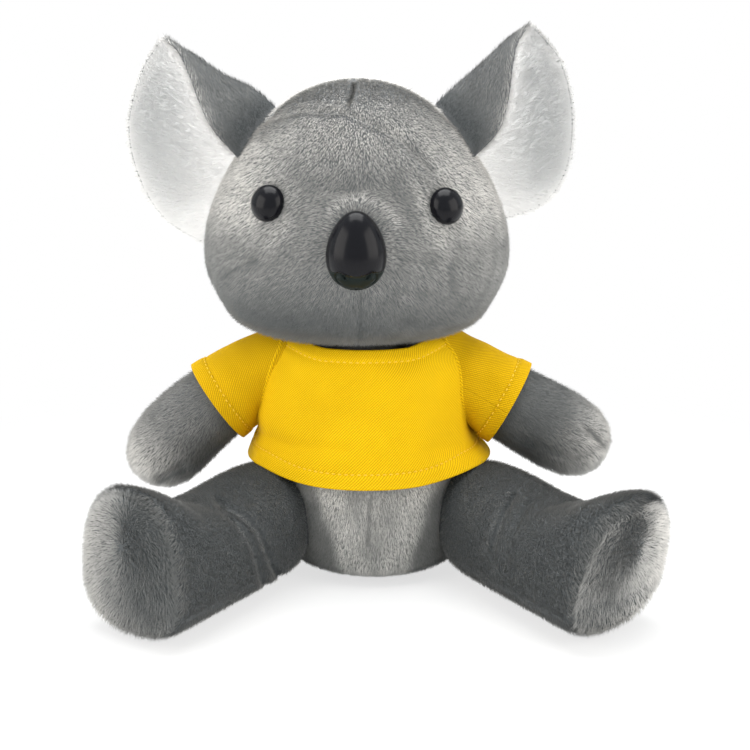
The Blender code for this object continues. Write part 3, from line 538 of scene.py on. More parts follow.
# The thighs leave a V of the belly clear: its middle column in the view, half its width in
# pixels at a row, and how much of that it loses with each row below.
v_column, v_row, v_half, v_loss = 374.5, 500.0, 51.5, 0.307
column, row = photo_spot(roots).T
within = v_half - v_loss * (row - v_row) - np.abs(column - v_column)
# The belly's pile is lighter toward the V's edges. Painted shade darkens it near the table, in
# the dart, and most outside the V, behind the thighs.
tone = 0.58 + 0.34 * ease(within, 34.0, 14.0)
tone -= 0.12 * ease(roots[:, 2], 10.0, 3.0) + 0.25 * near_line(roots, belly_dart, 2.5)
tone *= 1 - 0.7 * ease(within, 4.0, -9.0)
pile("belly_pile", "torso", grey_pile, roots[belly], normals[belly], down,
     tone[belly], 13)
pile("seat_pile", "torso", grey_pile, roots[rear], normals[rear], down, 0.30, 14)


# Neck: the stuffed join between body and head
# A short tube of the same grey plush, almost hidden between the neckline and the chin.

ball_shares = ((1.0,) * 9,) * 3
neck_radius, neck_foot = 22.0, 73.8
neck_form = egg(24, 40, (-5.5, 0.0, 67.0), 2 * neck_radius, 0.0, (neck_radius,) * 3,
                ball_shares)
neck_form[..., 2] = np.maximum(neck_form[..., 2], neck_foot)
neck = closed_skin("neck_skin", neck_form, grey_backing)
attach(neck, "neck")
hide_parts("neck")


# Head: face and back covers of grey plush, sewn round the sides and down the chin
# The stuffing swells the cheeks. The pile is brushed down the forehead and out from the nose over
# the cheeks, and painted shade darkens it in the seams and creases.

head_form = dict(base=(-6.0, -2.0, 77.3), tall=88.0, lean=0.0, sizes=(51.0, 38.0, 36.0),
                 shares=((2.0, 1.68, 1.26, 1.08, 0.96, 0.87, 0.82, 0.835, 0.85),
                         (2.0, 1.6, 1.24, 1.1, 1.02, 0.95, 0.89, 0.86, 0.85),
                         (2.0, 1.45, 1.12, 1.0, 0.97, 0.95, 0.93, 0.9, 0.88)))
head_base = np.array(head_form["base"])
# Lines across the face: spots in the camera's view and the reach round them, both in pixels, then
# how deep in millimetres and how much painted shade darkens a crease, or how bright a glint's
# painted highlight is.
creases = (([(355, 72), (353, 86), (349, 99)], 1.8, 1.5, 0.95),
           ([(262, 116), (300, 107), (345, 108), (400, 134), (432, 168)], 4.0, 0.9, 0.30),
           ([(361, 293), (361, 336)], 3.0, 0.6, 0.25),
           ([(222, 277), (256, 258)], 3.5, 0.5, 0.25),
           ([(398, 258), (432, 262)], 3.5, 0.5, 0.2),
           ([(449, 266), (452, 292)], 3.5, 0.5, 0.25))
painted_glints = (([(276, 119), (300, 112), (330, 114)], 5.0, 0.10),
          ([(212, 183), (236, 180), (256, 182)], 5.0, 0.16),
          ([(334, 212), (345, 203), (362, 200), (382, 207), (394, 222)], 4.5, 0.25),
          ([(416, 186), (424, 214), (438, 242)], 8.0, 0.22),
          ([(294, 188), (288, 220), (272, 244)], 8.0, 0.12))


def face_spot(across, height):
    """The point on the face at a distance across and above the head's middle and bottom.

    It lies on the ellipse of the head's half breadth and depth at that height.
    """
    turn = math.acos(1 - 2 * height / head_form["tall"])
    width, depth, _ = half_breadths(turn, head_form["sizes"], head_form["shares"])
    reach = depth * math.sqrt(1 - (across / width) ** 2)
    return head_base + np.array([across, -reach, height])


head_grid = egg(200, 220, **head_form)
front = head_grid[..., 1] < head_base[1]
dent = sum(deep * near_line(head_grid, spots, reach + 1.0) for spots, reach, deep, _ in creases)
dent = pile_deep + dent * front + 0.9 * bell(head_grid[..., 1] - head_base[1], 1.6)
head_grid -= grid_normals(head_grid) * dent[..., None]
head = closed_skin("head_skin", head_grid, grey_backing)
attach(head, "head")
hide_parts("head_face_cover", "head_back_cover", "head_filling")

eye_radius, eye_dome = 5.7, 4.6
eye_places = ((-28.4, 51.2), (28.9, 50.3))
nose_spot, nose_room = face_spot(0.0, 37.8), (8.6, 12.0, 11.6)
eye_spots = [face_spot(*place) for place in eye_places]
roots, normals, _ = scatter(head_grid, 6.2, 21)
clear = np.ones(len(roots), dtype=bool)
for spot in eye_spots:
    clear &= np.linalg.norm(roots - spot, axis=1) > eye_radius - 0.5
clear &= np.linalg.norm((roots - nose_spot) / nose_room, axis=1) > 1.0
front = roots[:, 1] < head_base[1]
clear &= front | (np.random.default_rng(22).random(len(roots)) < 0.5)
roots, normals, front = roots[clear], normals[clear], front[clear]
level = roots[:, 2]
across = (roots[:, 0] - head_base[0]) / 20.0
low = ease(level, 150.0, 100.0)
ahead = np.where(front, -0.6, 0.6) * ease(level, 136.0, 158.0)
comb = np.stack([np.tanh(across) * (0.25 + 0.9 * low), ahead, -np.ones(len(low))], axis=-1)
out = unit(roots - nose_spot)
round_nose = bell(np.linalg.norm(roots - nose_spot, axis=1), 20.0)[:, None]
comb = unit(comb) * (1 - round_nose) + out * round_nose * 1.2
beside = np.abs(roots[:, 0] - head_base[0])
# Painted light and shade on the head's pile: the crown lighter and the chin darker, as painted
# light from above; the temples lighter, as painted rim light; and the lower face a little darker
# on the left than on the right, as painted shade.
lit_crown = ease(level, 134.0, 154.0)
tone = 0.32 + 0.55 * lit_crown - 0.20 * ease(level, 110.0, 86.0)
tone += 0.56 * ease(beside, 16.0, 36.0) * ease(level, 110.0, 130.0) * (1 - 0.6 * lit_crown)
tone += (0.04 * np.tanh(across) - 0.02) * ease(level, 128.0, 108.0)
# Painted shade darkens the pile in the creases, the crown's dart and the seam round the sides,
# and painted highlights lighten it along the glints.
for spots, reach, _, dark in creases:
    tone *= 1 - front * dark * near_line(roots, spots, reach)
for spots, reach, bright in painted_glints:
    tone += front * bright * near_line(roots, spots, reach)
tone *= 1 - 0.4 * bell(roots[:, 1] - head_base[1], 1.2)
left = roots[:, 0] < head_base[0]
quarters = {"face_left": front & left, "face_right": front & ~left,
            "back_left": ~front & left, "back_right": ~front & ~left}
for seed, (part, mask) in enumerate(quarters.items()):
    beard = 1 + 0.7 * ease(roots[mask, 2], 88.0, 80.0)
    pile(f"head_pile_{part}", "head", grey_pile, roots[mask], normals[mask],
         comb[mask], tone[mask], 230 + 10 * seed, longer=beard)


# Eyes: domed black safety eyes, polished
# Each is a moulded cap on a stem that passes through the face, where a washer holds it
# from inside.

def gloss_material(name, colour, roughness, shine=0.13):
    """Polished moulded plastic with fine scratches and dust in its shine."""
    paint = Paint(name)
    fine = paint.noise(700.0, 4.0)
    tint = paint.mix(fine, tuple(c * 0.7 for c in colour), colour)
    return paint.dress(Base_Color=tint, Roughness=fine * 0.08 + roughness,
                       Specular_IOR_Level=shine)


black_gloss = gloss_material("black_gloss_plastic", (0.005, 0.005, 0.007), 0.17)
for side, (aside, height), spot in zip(("left", "right"), eye_places, eye_spots):
    level = face_spot(aside + 0.2, height) - spot
    rise = face_spot(aside, height + 0.2) - spot
    outward = unit(np.cross(level, rise))
    across = unit(np.cross([0.0, 0.0, 1.0], outward))
    dome = egg(40, 64, (0.0, 0.0, -1.0), 2.0, 0.0, (1.0,) * 3, ball_shares)
    dome = spot + (eye_radius * dome[..., :1] * across
                   + 1.06 * eye_radius * dome[..., 1:2] * np.cross(outward, across)
                   + eye_dome * dome[..., 2:] * outward)
    eye = closed_skin(f"eye_{side}_dome", dome, black_gloss)
    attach(eye, "head")
    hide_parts(f"eye_{side}")


# Nose: a moulded black egg with a flatter band and two curled nostrils below
# It is fixed like the eyes, with a stem and a washer.

def lip_line(across):
    """The height of the step over the nostrils, lowest in the middle: a bell below a level."""
    return -5.7 - 0.9 * bell(across, 4.0)


nose_sizes = (9.6, 12.9, 8.6)
nose_shares = (1.0, 1.12, 1.1, 1.06, 1.0, 0.94, 0.88, 0.85, 0.85)
nose_grid = egg(170, 190, (0.0, 0.0, -nose_sizes[1]), 2 * nose_sizes[1], 0.0,
                (nose_sizes[0], nose_sizes[2], nose_sizes[2]), (nose_shares,) * 3)
across, deep, high = (nose_grid[..., axis] for axis in range(3))
lip = lip_line(across)
sunk = 0.9 * ease(lip - high, 0.0, 1.0) + 0.10 * np.clip(lip - high, 0, 8)
for sign in (-1, 1):
    aside, rise = sign * across - 4.9, high + 8.2
    ring = np.hypot(aside * 1.15, rise * 0.9 - 0.25 * aside)
    turn = np.arctan2(rise, aside)
    sunk += 0.9 * bell(ring - 1.75, 0.42) * ease(turn, -1.9, -1.2)
    sunk -= 0.35 * bell(ring, 1.0)
sunk += 0.8 * bell(across, 0.5) * bell(high + 12.4, 1.0)
nose_grid[..., 1] = np.where(deep < 0, np.minimum(deep + sunk, -0.05), deep)
nose = closed_skin("nose_egg", nose_grid + nose_spot, black_gloss)
satin_black = gloss_material("satin_black_plastic", (0.011, 0.016, 0.015), 0.34, 0.06)
middles = face_middles(nose) - nose_spot
second_material(nose, satin_black, middles[:, 2] < lip_line(middles[:, 0]) - 0.2)
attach(nose, "head")
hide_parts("nose")

washer_paint = Paint("white_washer_plastic")
cloudy = washer_paint.mix(washer_paint.noise(400.0), (0.7, 0.7, 0.67), (0.8, 0.8, 0.77))
washer_paint.dress(Base_Color=cloudy, Roughness=0.45)
for name in ("eye_left_washer", "eye_right_washer", "nose_washer"):
    frame["nodes"][name].data.materials.clear()
    frame["nodes"][name].data.materials.append(washer_paint.material)


# Ears: two layers of cloth, grey behind and long white pile inside
# Each is sewn into the side of the head and cupped forward, with its outer rim standing
# free.

white_pile = pile_material("white_plush_pile", (0.88, 0.885, 0.89), (0.99, 0.99, 0.99), 0.98)
white_backing = backing_material("white_plush_backing", (0.99, 0.99, 0.99), 0.95)
# Where the ear is sewn on, and then four curves from its foot to its tip, from the inner
# edge to the outer: out, forward and up, in hundredths of the ear's height.
ear_tall, tip_reach = 70.0, 60.0
ear_anchor = np.array([head_form["sizes"][0] * 0.785, 0.0,
                       head_base[2] + head_form["tall"] * 0.649])
ear_curves = {
    "left": (
        ((-6, 11, 2), (9, 16, 20), (15, 13, 31), (20, 9, 44), (25, 4, 54), (30, 0, 59)),
        ((-26, -9, 19), (-9, -10, 34), (6, -7, 42), (19, -6, 51), (27, -4, 56), (31.5, -3, 60.5)),
        ((-11, -14, -9), (11, -26, -5), (26, -27, 12), (34, -21, 31), (35, -11, 47),
         (33.5, -4, 60)),
        ((4, -7, -44), (33, -13, -29), (46.5, -13, -8), (51, -10, 18), (44, -6, 45),
         (35.5, -3, 58.5)),
    ),
    "right": (
        ((-9, 11, 1), (8, 16, 19), (13, 13, 34), (15, 9, 48), (17, 4, 58), (21, 0, 65)),
        ((-27, -9, 21), (-7, -10, 39), (4, -7, 49), (13, -6, 58), (19, -4, 63), (23, -3, 66.5)),
        ((-11, -14, -8), (13, -26, -1), (24, -27, 15), (29, -21, 38), (28, -11, 55),
         (25, -4, 66)),
        ((6, -7, -28), (30, -13, -21), (42, -13, -5), (45, -10, 22), (39, -6, 49),
         (27, -3, 64.5)),
    ),
}


def thicken(sheet, thickness):
    """Give a sheet its thickness in metres, half of it to each side."""
    thick = sheet.modifiers.new("thick", "SOLIDIFY")
    thick.thickness = thickness
    thick.offset = 0.0


rows, columns = 80, 72
for side, sign in (("left", -1), ("right", 1)):
    curves = ear_anchor * [sign, 1, 1] + [head_base[0], 0, 0] + (
        np.array(ear_curves[side]) * ear_tall / 100 * [sign, -1, 1])
    along = np.stack([read_shares(curve, np.linspace(0, 1, rows)) for curve in curves])
    sheet = read_shares(along, np.linspace(0, 1, columns)).transpose(1, 0, 2)
    upward, outward = unit(np.gradient(sheet, axis=0)), unit(np.gradient(sheet, axis=1))
    hollow = unit(np.cross(outward, upward))
    inside = (sheet[:, 0] + sheet[:, -1]) / 2 - sheet[:, columns // 2]
    if np.sum(hollow[:, columns // 2] * inside) < 0:
        hollow = -hollow
    faces = quads(rows, columns)
    free = egg_reach(sheet, **head_form).reshape(-1) > 0.88
    wide = np.linalg.norm(np.diff(sheet, axis=1), axis=-1).sum(axis=1)[:, None]
    share = np.linspace(0, 1, columns)
    inset = np.minimum(np.minimum(share, 1 - share) * wide,
                       tip_reach * np.linspace(1, 0, rows)[:, None])
    for layer, offset, backing in (("outer", -0.5, grey_backing), ("lining", 0.6, white_backing)):
        if layer == "lining":
            free = free & (inset.reshape(-1) > 0.5)
        apart = (0.1 + offset * ease(inset, 0.3, 4.0))[..., None]
        skin = new_mesh(f"ear_{side}_{layer}_cloth", (sheet + hollow * apart).reshape(-1, 3),
                        faces[free[faces].all(axis=1)], backing)
        thicken(skin, 0.0006)
        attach(skin, f"ear_{side}")
        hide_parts(f"ear_{side}_{layer}")
        "white_plush" if layer == "lining" else "grey_plush"
    for layer, way, seed in (("outer", -1, 31), ("lining", 1, 41)):
        roots, normals, share = scatter(sheet, 8.0 if way > 0 else 5.0, seed + sign, hollow * way)
        row = np.minimum((share[:, 0] * (rows - 1)).astype(int), rows - 2)
        column = np.minimum((share[:, 1] * (columns - 1)).astype(int), columns - 2)
        rim = np.minimum(np.minimum(share[:, 1], 1 - share[:, 1]) * wide[row, 0],
                         (1 - share[:, 0]) * tip_reach)
        keep = (egg_reach(roots + normals, **head_form) > 1.0) & (rim > 0.1)
        if way > 0:
            thinned = np.random.default_rng(seed).random(len(roots))
            keep &= thinned < ease(rim, 9.0, 2.0) * 0.3 + 0.7
        roots, normals, share, row, column, rim = (
            field[keep] for field in (roots, normals, share, row, column, rim))
        spread = (share[:, 1:] - 0.42) * (2.2 if way > 0 else 0.5)
        comb = upward[row, column] * (0.9 if way > 0 else 1.0) + outward[row, column] * spread
        if way > 0:
            lift = 0.35 + 0.65 * ease(rim, 0.3, 4.0)
            # The lining's pile is painted darker away from the rim, as painted shade in the ear's
            # hollow.
            pile(f"ear_{side}_lining_pile", f"ear_{side}", white_pile,
                 roots + normals * lift[:, None], normals, comb,
                 0.9 - 0.20 * ease(rim, 6.0, 16.0), seed + sign, (2.8, 4.4), 1.32, 0.28, 0.05,
                 tilt=0.9)
        else:
            # The back's pile is lighter toward the rim and white along the outer rim, and painted
            # darker near the head, as painted shade where the ear meets it.
            shade_near_head = ease(egg_reach(roots, **head_form), 1.6, 1.05)
            lift = 0.2 + 0.5 * ease(rim, 0.3, 4.0)
            tone = 0.17 + 0.24 * ease(rim, 8.0, 0.0) + 0.35 * ease(rim, 2.0, 0.4)
            tone = np.where((share[:, 1] > 0.5) & (rim < 2.6), 1.0, tone)
            pile(f"ear_{side}_outer_pile", f"ear_{side}", grey_pile,
                 roots + normals * lift[:, None], normals, comb,
                 tone * (1 - 0.75 * shade_near_head), seed + sign, (1.8, 2.8), 1.1)


# Arms: stuffed sausages of grey plush, sewn to the shoulders
# The left one hangs lower. The seam runs along the underside, and the pile is painted lighter
# toward the paw, as painted light from above.

arm_radius, arm_out, arm_height = 12.5, 32.0, 64.5
arm_reach = {"left": 56.0, "right": 58.0}
arm_drop = {"left": (-25.0, -58.0), "right": (-29.0, -29.0)}
limb_back = [(-math.cos(turn), math.sin(turn)) for turn in np.radians([24, 46, 68, 90])]
arm_shares = ((0.12, 1.0, 1.0, 1.0), (0.30, 1.06, 1.06, 1.06), (0.50, 1.10, 1.12, 1.12),
              (0.68, 1.12, 1.14, 1.14), (0.82, 1.02, 1.06, 1.06), (0.92, 0.80, 0.82, 0.82),
              (0.98, 0.46, 0.48, 0.48))


def limb_line(start, sign, forward, drops, reach):
    """A limb's places, headings and upward directions along a line that bends evenly.

    A place is a chord away from the start, halfway between the first and the present
    heading. The chord is the distance times the sine of half the bend over half the bend.
    """
    lean = math.radians(forward)
    out = np.array([sign * math.cos(lean), -math.sin(lean), 0.0])
    up = np.array([0.0, 0.0, 1.0])
    first, last = (math.radians(angle) for angle in drops)

    def at(distance):
        s = np.asarray(distance, dtype=float)[..., None]
        bend = (last - first) * np.clip(s, 0, None) / reach
        chord = np.clip(s, 0, None) * np.sinc(bend / (2 * math.pi))
        middle = first + bend / 2
        heading = np.cos(first + bend) * out + np.sin(first + bend) * up
        place = start + chord * (np.cos(middle) * out + np.sin(middle) * up)
        rise = np.cos(first + bend) * up - np.sin(first + bend) * out
        return place + np.minimum(s, 0) * heading, heading, rise

    return at, np.cross(out, up)


def smoothed(columns, size):
    """Columns of numbers evened out over so many rows, weighted by a raised cosine."""
    kernel = np.hanning(size)
    return np.stack([np.convolve(column, kernel / kernel.sum(), "valid")
                     for column in columns.T], axis=-1)


def limb_form(line, reach, radius, shares, slants=(0, 0), roundness=1.0, rows=120, columns=96):
    """Rings of a limb: the back of a ball, its swelling length and its round end.

    Each ring is level times the half width across and steep times the rise or drop upward,
    where level and steep are the cosine and sine to a power, which squares it a little. The
    end's face is slanted by a share of each point's place across and up.
    """
    at, across = line
    table = [(-radius, 0, 0, 0)] + [(x * radius, w, w, w) for x, w in limb_back]
    table += [(share * reach, *rest) for share, *rest in shares] + [(reach, 0, 0, 0)]
    table = np.array(table)
    knots = np.concatenate([[0], np.cumsum(np.linalg.norm(
        np.diff(table * [1, radius, radius / 2, radius / 2], axis=0), axis=1))])
    spots = np.linspace(0, knots[-1], rows)
    table = np.stack([np.interp(spots, knots, column) for column in table.T], axis=-1)
    beyond = np.pad(table, ((4, 4), (0, 0)), mode="reflect", reflect_type="odd")
    table[1:-1] = smoothed(beyond, 9)[1:-1]
    along = table[:, 0]
    width, rise, drop = (radius * table[:, k] for k in (1, 2, 3))
    place, heading, upward = at(along)
    around = np.arange(columns) * 2 * math.pi / columns
    power = np.interp(along, [0, radius], [1, roundness])[:, None]
    level = np.sign(np.cos(around)) * np.abs(np.cos(around)) ** power
    steep = np.sign(np.sin(around)) * np.abs(np.sin(around)) ** power
    sideways = width[:, None] * level
    upright = np.where(steep > 0, rise[:, None], drop[:, None]) * steep
    middle = 0.25 * radius * ease(along, 0.97 * reach, reach) * (roundness < 1)
    upright = upright + middle[:, None]
    grid = place[:, None] + sideways[..., None] * across + upright[..., None] * upward[:, None]
    slant = np.clip(along / reach, 0, 1)[:, None] ** 3
    slant = slant * (upright * slants[1] - sideways * slants[0])
    grid = grid + slant[..., None] * heading[:, None]
    grid[0], grid[-1] = grid[0].mean(axis=0), grid[-1].mean(axis=0)
    return grid


# Where the paw is pinched and where the arm's seam runs, in pixels of the camera's view.
arm_marks = {"left": ([(161, 480), (184, 468)], [(161, 480), (196, 462), (226, 436)]),
             "right": ([(586, 428), (601, 443)], [(601, 443), (570, 458), (520, 440)])}
arm_lines = {}
for side, sign in (("left", -1), ("right", 1)):
    reach = arm_reach[side]
    start = np.array([body_lean * arm_height + sign * arm_out, 0.0, arm_height])
    line = limb_line(start, sign, 4.0, arm_drop[side], reach)
    arm_lines[side] = line
    pinch, seam = arm_marks[side]
    form = limb_form(line, reach, arm_radius, arm_shares)
    dent = 0.9 * near_line(form, pinch, 5.0) + 0.4 * near_line(form, seam, 4.0)
    form -= grid_normals(form) * (pile_deep + dent * (form[..., 1] < 0))[..., None]
    skin = closed_skin(f"arm_{side}_skin", form, grey_backing)
    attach(skin, f"arm_{side}")
    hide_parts(f"arm_{side}_cover", f"arm_{side}_filling")
    roots, normals, _ = scatter(form, 6.2, 51 + sign)
    heading = line[0](np.array([reach * 0.6]))[1][0]
    out = (roots - start) @ heading
    keep = out > 14.0
    roots, normals, out = roots[keep], normals[keep], out[keep]
    comb = heading - 0.35 * normals * [1, 1, 0] + [0.0, 0.0, -0.15]
    # Painted light and shade on the arm's pile: lighter toward the paw, as painted light from
    # above; darker near the shoulder, underneath, in the paw's pinch and along the seam, as
    # painted shade; and the right arm darker than the left, as painted shade.
    tone = (0.28 if side == "left" else 0.13) + 0.45 * ease(out, 32.0, 52.0)
    tone *= 1 - 0.3 * ease(out, 28.0, 16.0) - 0.3 * ease(normals[:, 2], 0.0, -0.7)
    fronts = roots[:, 1] < 0
    tone *= 1 - fronts * 0.6 * near_line(roots, pinch, 2.5)
    tone *= 1 - fronts * 0.35 * near_line(roots, seam, 3.0)
    pile(f"arm_{side}_pile", f"arm_{side}", grey_pile, roots, normals, comb, tone,
         53 + sign, (1.9, 2.9))


# Legs: round thighs that lie on the table and swell into upturned feet
# Each foot ends in a separate round sole panel, sewn on with its pile brushed outward.

leg_radius, leg_reach, leg_splay, sole_depth = 16.5, 97.0, 30.5, 6.0
hip_place = (29.5, -4.0, 18.5)
lit_side = np.array([5, 0])
leg_turn = {"left": 16.0, "right": 20.0}
leg_tilt = {"left": 0.0, "right": 18.0}
leg_shares = ((0.10, 1.05, 1.20, 1.10), (0.24, 1.20, 1.16, 1.15), (0.42, 1.28, 1.03, 1.15),
              (0.58, 1.33, 1.02, 1.15), (0.72, 1.38, 1.28, 1.15), (0.83, 1.43, 1.68, 1.15),
              (0.92, 1.44, 1.86, 1.13), (0.975, 1.26, 1.62, 0.98), (0.995, 0.76, 1.02, 0.52))
# The creases over each thigh, in pixels of the camera's view, like those of the face, with
# painted shade in them. The pile beside each gets a painted highlight, so many pixels to its
# left.
leg_folds = {
    "left": (([(218, 497), (246, 514), (262, 530), (274, 560), (280, 576)], 3.0, 1.4, 0.85),
             ([(222, 506), (238, 518), (251, 536), (261, 562), (266, 584)], 2.4, 1.0, 0.6)),
    "right": (([(513, 491), (500, 512), (492, 534), (488, 552)], 3.0, 1.3, 0.7),
              ([(528, 499), (514, 520), (505, 546), (500, 570)], 2.4, 0.7, 0.4))}
# The legs' backing is the grey plush backing written darker, as painted shade over the thighs and
# feet.
shaded_backing = backing_material("shaded_plush_backing", (0.060, 0.067, 0.071))
for side, sign in (("left", -1), ("right", 1)):
    start = np.array(hip_place) * [sign, 1, 1]
    line = limb_line(start, sign, 90.0 - leg_splay, (0.0, 0.0), leg_reach)
    at, across = line
    slants = (-sign * math.tan(math.radians(leg_turn[side])),
              math.tan(math.radians(leg_tilt[side])))
    form = limb_form(line, leg_reach, leg_radius, leg_shares, slants, 0.8, 150, 110)
    form[..., 2] = np.maximum(form[..., 2], 0.0)
    seam, heading, rise = (value[0] for value in at(np.array([leg_reach - sole_depth])))
    facing = unit(heading + slants[0] * across - slants[1] * rise)
    past = (form - seam) @ facing
    dent = 0.5 * bell(past, 1.3)
    for spots, wide, deep, _ in leg_folds[side]:
        dent = dent + deep * near_line(form, spots, wide + 1.0)
    form -= grid_normals(form) * (pile_deep + dent)[..., None]
    form[..., 2] = np.maximum(form[..., 2], cloth_foot)
    skin = closed_skin(f"leg_{side}_skin", form, shaded_backing)
    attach(skin, f"leg_{side}")
    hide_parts(f"leg_{side}_cover", f"leg_{side}_sole", f"leg_{side}_filling")
    roots, normals, _ = scatter(form, 5.2, 61 + sign)
    thinned = np.random.default_rng(65 + sign).random(len(roots)) < 0.45
    keep = (egg_reach(roots + 0.5 * normals, **body_form) > 1.0) & (roots[:, 2] > 0.9)
    keep &= (normals[:, 2] > -0.35) | thinned
    roots, normals = roots[keep], normals[keep]
    past = (roots - seam) @ facing
    middle = seam + rise * 6.0
    sole = past > 0
    comb = np.where(sole[:, None], 0.8 * unit(roots - middle) + [0.0, 0.0, -0.6],
                    heading + [0.0, 0.0, -0.35])
    along = (roots - start) @ heading
    # Painted light and shade on the legs' pile: lighter where it faces up toward the foot, as
    # painted light from above; the left sole darker than the right and the right leg a little
    # darker than the left, as painted shade; darker at the sole's seam and in the creases, as
    # painted shade, with a painted highlight beside each crease. The pile is also a little darker
    # toward the sole, and the soles grow lighter toward one side and toward their bottom.
    tone = 0.235 + 0.04 * ease(along, 60.0, 88.0) * ease(normals[:, 2], 0.3, 0.9)
    tone -= 0.05 * ease(past, -30.0, -5.0) + (0.0 if side == "left" else 0.03)
    sole_tone = 0.13 if side == "left" else 0.32
    edge = (roots - middle) @ across * -sign
    edge = 0.34 * ease(edge, -6.0, 20.0) + 0.10 * ease(roots[:, 2], 14.0, 4.0)
    tone = np.where(sole, sole_tone + edge, tone)
    tone *= 1 - 0.3 * bell(past, 0.9)
    for spots, wide, _, dark in leg_folds[side]:
        tone *= 1 - dark * near_line(roots, spots, wide)
        tone += 0.12 * near_line(roots, spots - lit_side, wide)
    longer = 1 + 0.5 * bell(past, 5.0)
    for part, mask, seed in (("cover", ~sole, 63), ("sole", sole, 67)):
        pile(f"leg_{side}_{part}_pile", f"leg_{side}", grey_pile, roots[mask],
             normals[mask], comb[mask], tone[mask], seed + sign, stray=0.05,
             longer=longer[mask])


# T-shirt: a short-sleeved raglan shirt of yellow knit with stitched hems
# Front and back are sewn at the sides, the sleeves slant up to the neckline, and each edge
# is folded under and stitched.

def knit_material(name, dark, light):
    """Fine diagonal knit: two waves across the map's millimetres make dots in slant rows."""
    paint = Paint(name)
    u, v, _ = paint.axes(paint.node("ShaderNodeUVMap", {"uv_map": "cloth"}))
    slant = (u - v) * (2 * math.pi / 0.92)
    steps = (u + v * 0.9) * (2 * math.pi / 1.05)
    rows = slant.math("SINE", slant) * 0.5 + 0.5
    dots = steps.math("SINE", steps) * 0.5 + 0.5
    knit = rows * 0.65 + rows * dots * 0.35
    tint = paint.mix(knit * 0.7 + paint.noise(45.0) * 0.3, dark, light)
    bump = paint.node("ShaderNodeBump", {},
                      {"Strength": 0.5, "Distance": 0.0003, "Height": knit})
    return paint.dress(Base_Color=tint, Roughness=0.85, Specular_IOR_Level=0.12, Normal=bump)


yellow_knit = knit_material("yellow_knit", (0.46, 0.26, 0.0005), (0.94, 0.60, 0.003))
# The sleeves take the same knit written darker, as painted shade.
shaded_sleeve_knit = knit_material("yellow_knit_shaded_on_sleeves", (0.40, 0.22, 0.0003), (0.78, 0.48, 0.001))
thread_paint = Paint("yellow_thread")
twist = thread_paint.mix(thread_paint.noise(2500.0), (0.62, 0.38, 0.005), (0.92, 0.62, 0.03))
yellow_thread = thread_paint.dress(Base_Color=twist, Roughness=0.6)


def stitches(name, body, path, normals, long=1.35, gap=0.75):
    """A row of stitches: short spindles along a path, thickest at the middle.

    Each is three rings of four corners and a point at each end, at even distances on the
    path, with its ends sunk into the cloth.
    """
    steps = np.concatenate([[0], np.cumsum(np.linalg.norm(np.diff(path, axis=0), axis=1))])
    starts = np.arange(0.2, steps[-1] - long, long + gap)
    at = starts[:, None] + np.array([0.0, 0.15, 0.5, 0.85, 1.0]) * long
    place = np.stack([np.interp(at, steps, path[:, k]) for k in range(3)], axis=-1)
    up = unit(np.stack([np.interp(at, steps, normals[:, k]) for k in range(3)], axis=-1))
    side = unit(np.cross(up, np.gradient(place, axis=1)))
    angle = np.arange(4) * math.pi / 2 + math.pi / 4
    ring = (side[:, :, None] * np.cos(angle)[:, None] + up[:, :, None] * np.sin(angle)[:, None])
    size = np.array([0.0, 0.24, 0.28, 0.24, 0.0])[:, None, None]
    sink = np.array([-0.25, 0.06, 0.18, 0.06, -0.25])[:, None]
    points = (place + up * sink)[:, :, None] + ring * size
    faces = 20 * np.arange(len(starts))[:, None, None] + quads(5, 4, wrapped=True)
    thing = new_mesh(name, points.reshape(-1, 3), faces.reshape(-1, 4), yellow_thread)
    mend(thing)
    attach(thing, body)


def welt(name, path, beyond):
    """The folded edge of a seam: a soft cord along a closed path, flat against the cloth.

    The path is evened out, and each point's ring is the cosine across the path and the sine
    outward, toward the point beyond it.
    """
    path, beyond = (smoothed(np.concatenate([line[-8:-1], line, line[1:8]]), 15)[:-1]
                    for line in (path, beyond))
    run = unit(np.roll(path, -1, axis=0) - np.roll(path, 1, axis=0))
    up = unit(beyond - path)
    side = unit(np.cross(run, up))
    angle = np.arange(10) * math.pi / 5
    ring = 0.9 * side[:, None] * np.cos(angle)[:, None] + 0.75 * up[:, None] * (
        np.sin(angle)[:, None])
    points = path[:, None] + ring
    faces = quads(len(path) + 1, 10, wrapped=True) % (10 * len(path))
    thing = new_mesh(name, points.reshape(-1, 3), faces, yellow_knit)
    mend(thing, weld=False)
    row, column = np.indices((len(path), 10))
    map_corners(thing, "cloth", column * 0.45, row * 0.45)
    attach(thing, "torso")


shirt_top, hem_front, hem_rise, hem_rise_depth, hem_fold = 78.0, 34.6, 2.6, 18.0, 4.4
neck_fold, sleeve_fold, knit_thick = 3.7, 4.4, 0.0009
# Pull lines of the shirt: spots in the camera's view and the reach round them, in pixels,
# and their depth in millimetres.
shirt_folds = (([(250, 428), (290, 446), (345, 449)], 7.0, 0.9),
               ([(275, 352), (300, 380), (318, 402)], 9.0, 0.7),
               ([(486, 432), (455, 448), (425, 452)], 7.0, 0.6))


def shirt_wall(around, height, out):
    """Points of the shirt's tube at angles and heights, looser toward the hem.

    It follows the body's half breadths plus its ease, and leans less than the body near the
    neckline.
    """
    above = height - body_form["base"][2]
    turn = np.arccos(np.clip(1 - 2 * above / body_form["tall"], -0.999, 0.999))
    loose = np.clip((hem_front + 16.0 - height) / 16.0, 0, 1)
    grow = 0.3 + out + 2.6 * loose**2
    width, ahead, behind = (reach + grow for reach in half_breadths(
        turn, body_form["sizes"], body_form["shares"]))
    depth = np.where(np.sin(around) < 0, ahead, behind)
    lean = body_lean * height + 2.6 * ease(height, 52.0, 76.0)
    return np.stack([lean + width * np.cos(around), depth * np.sin(around), height], axis=-1)


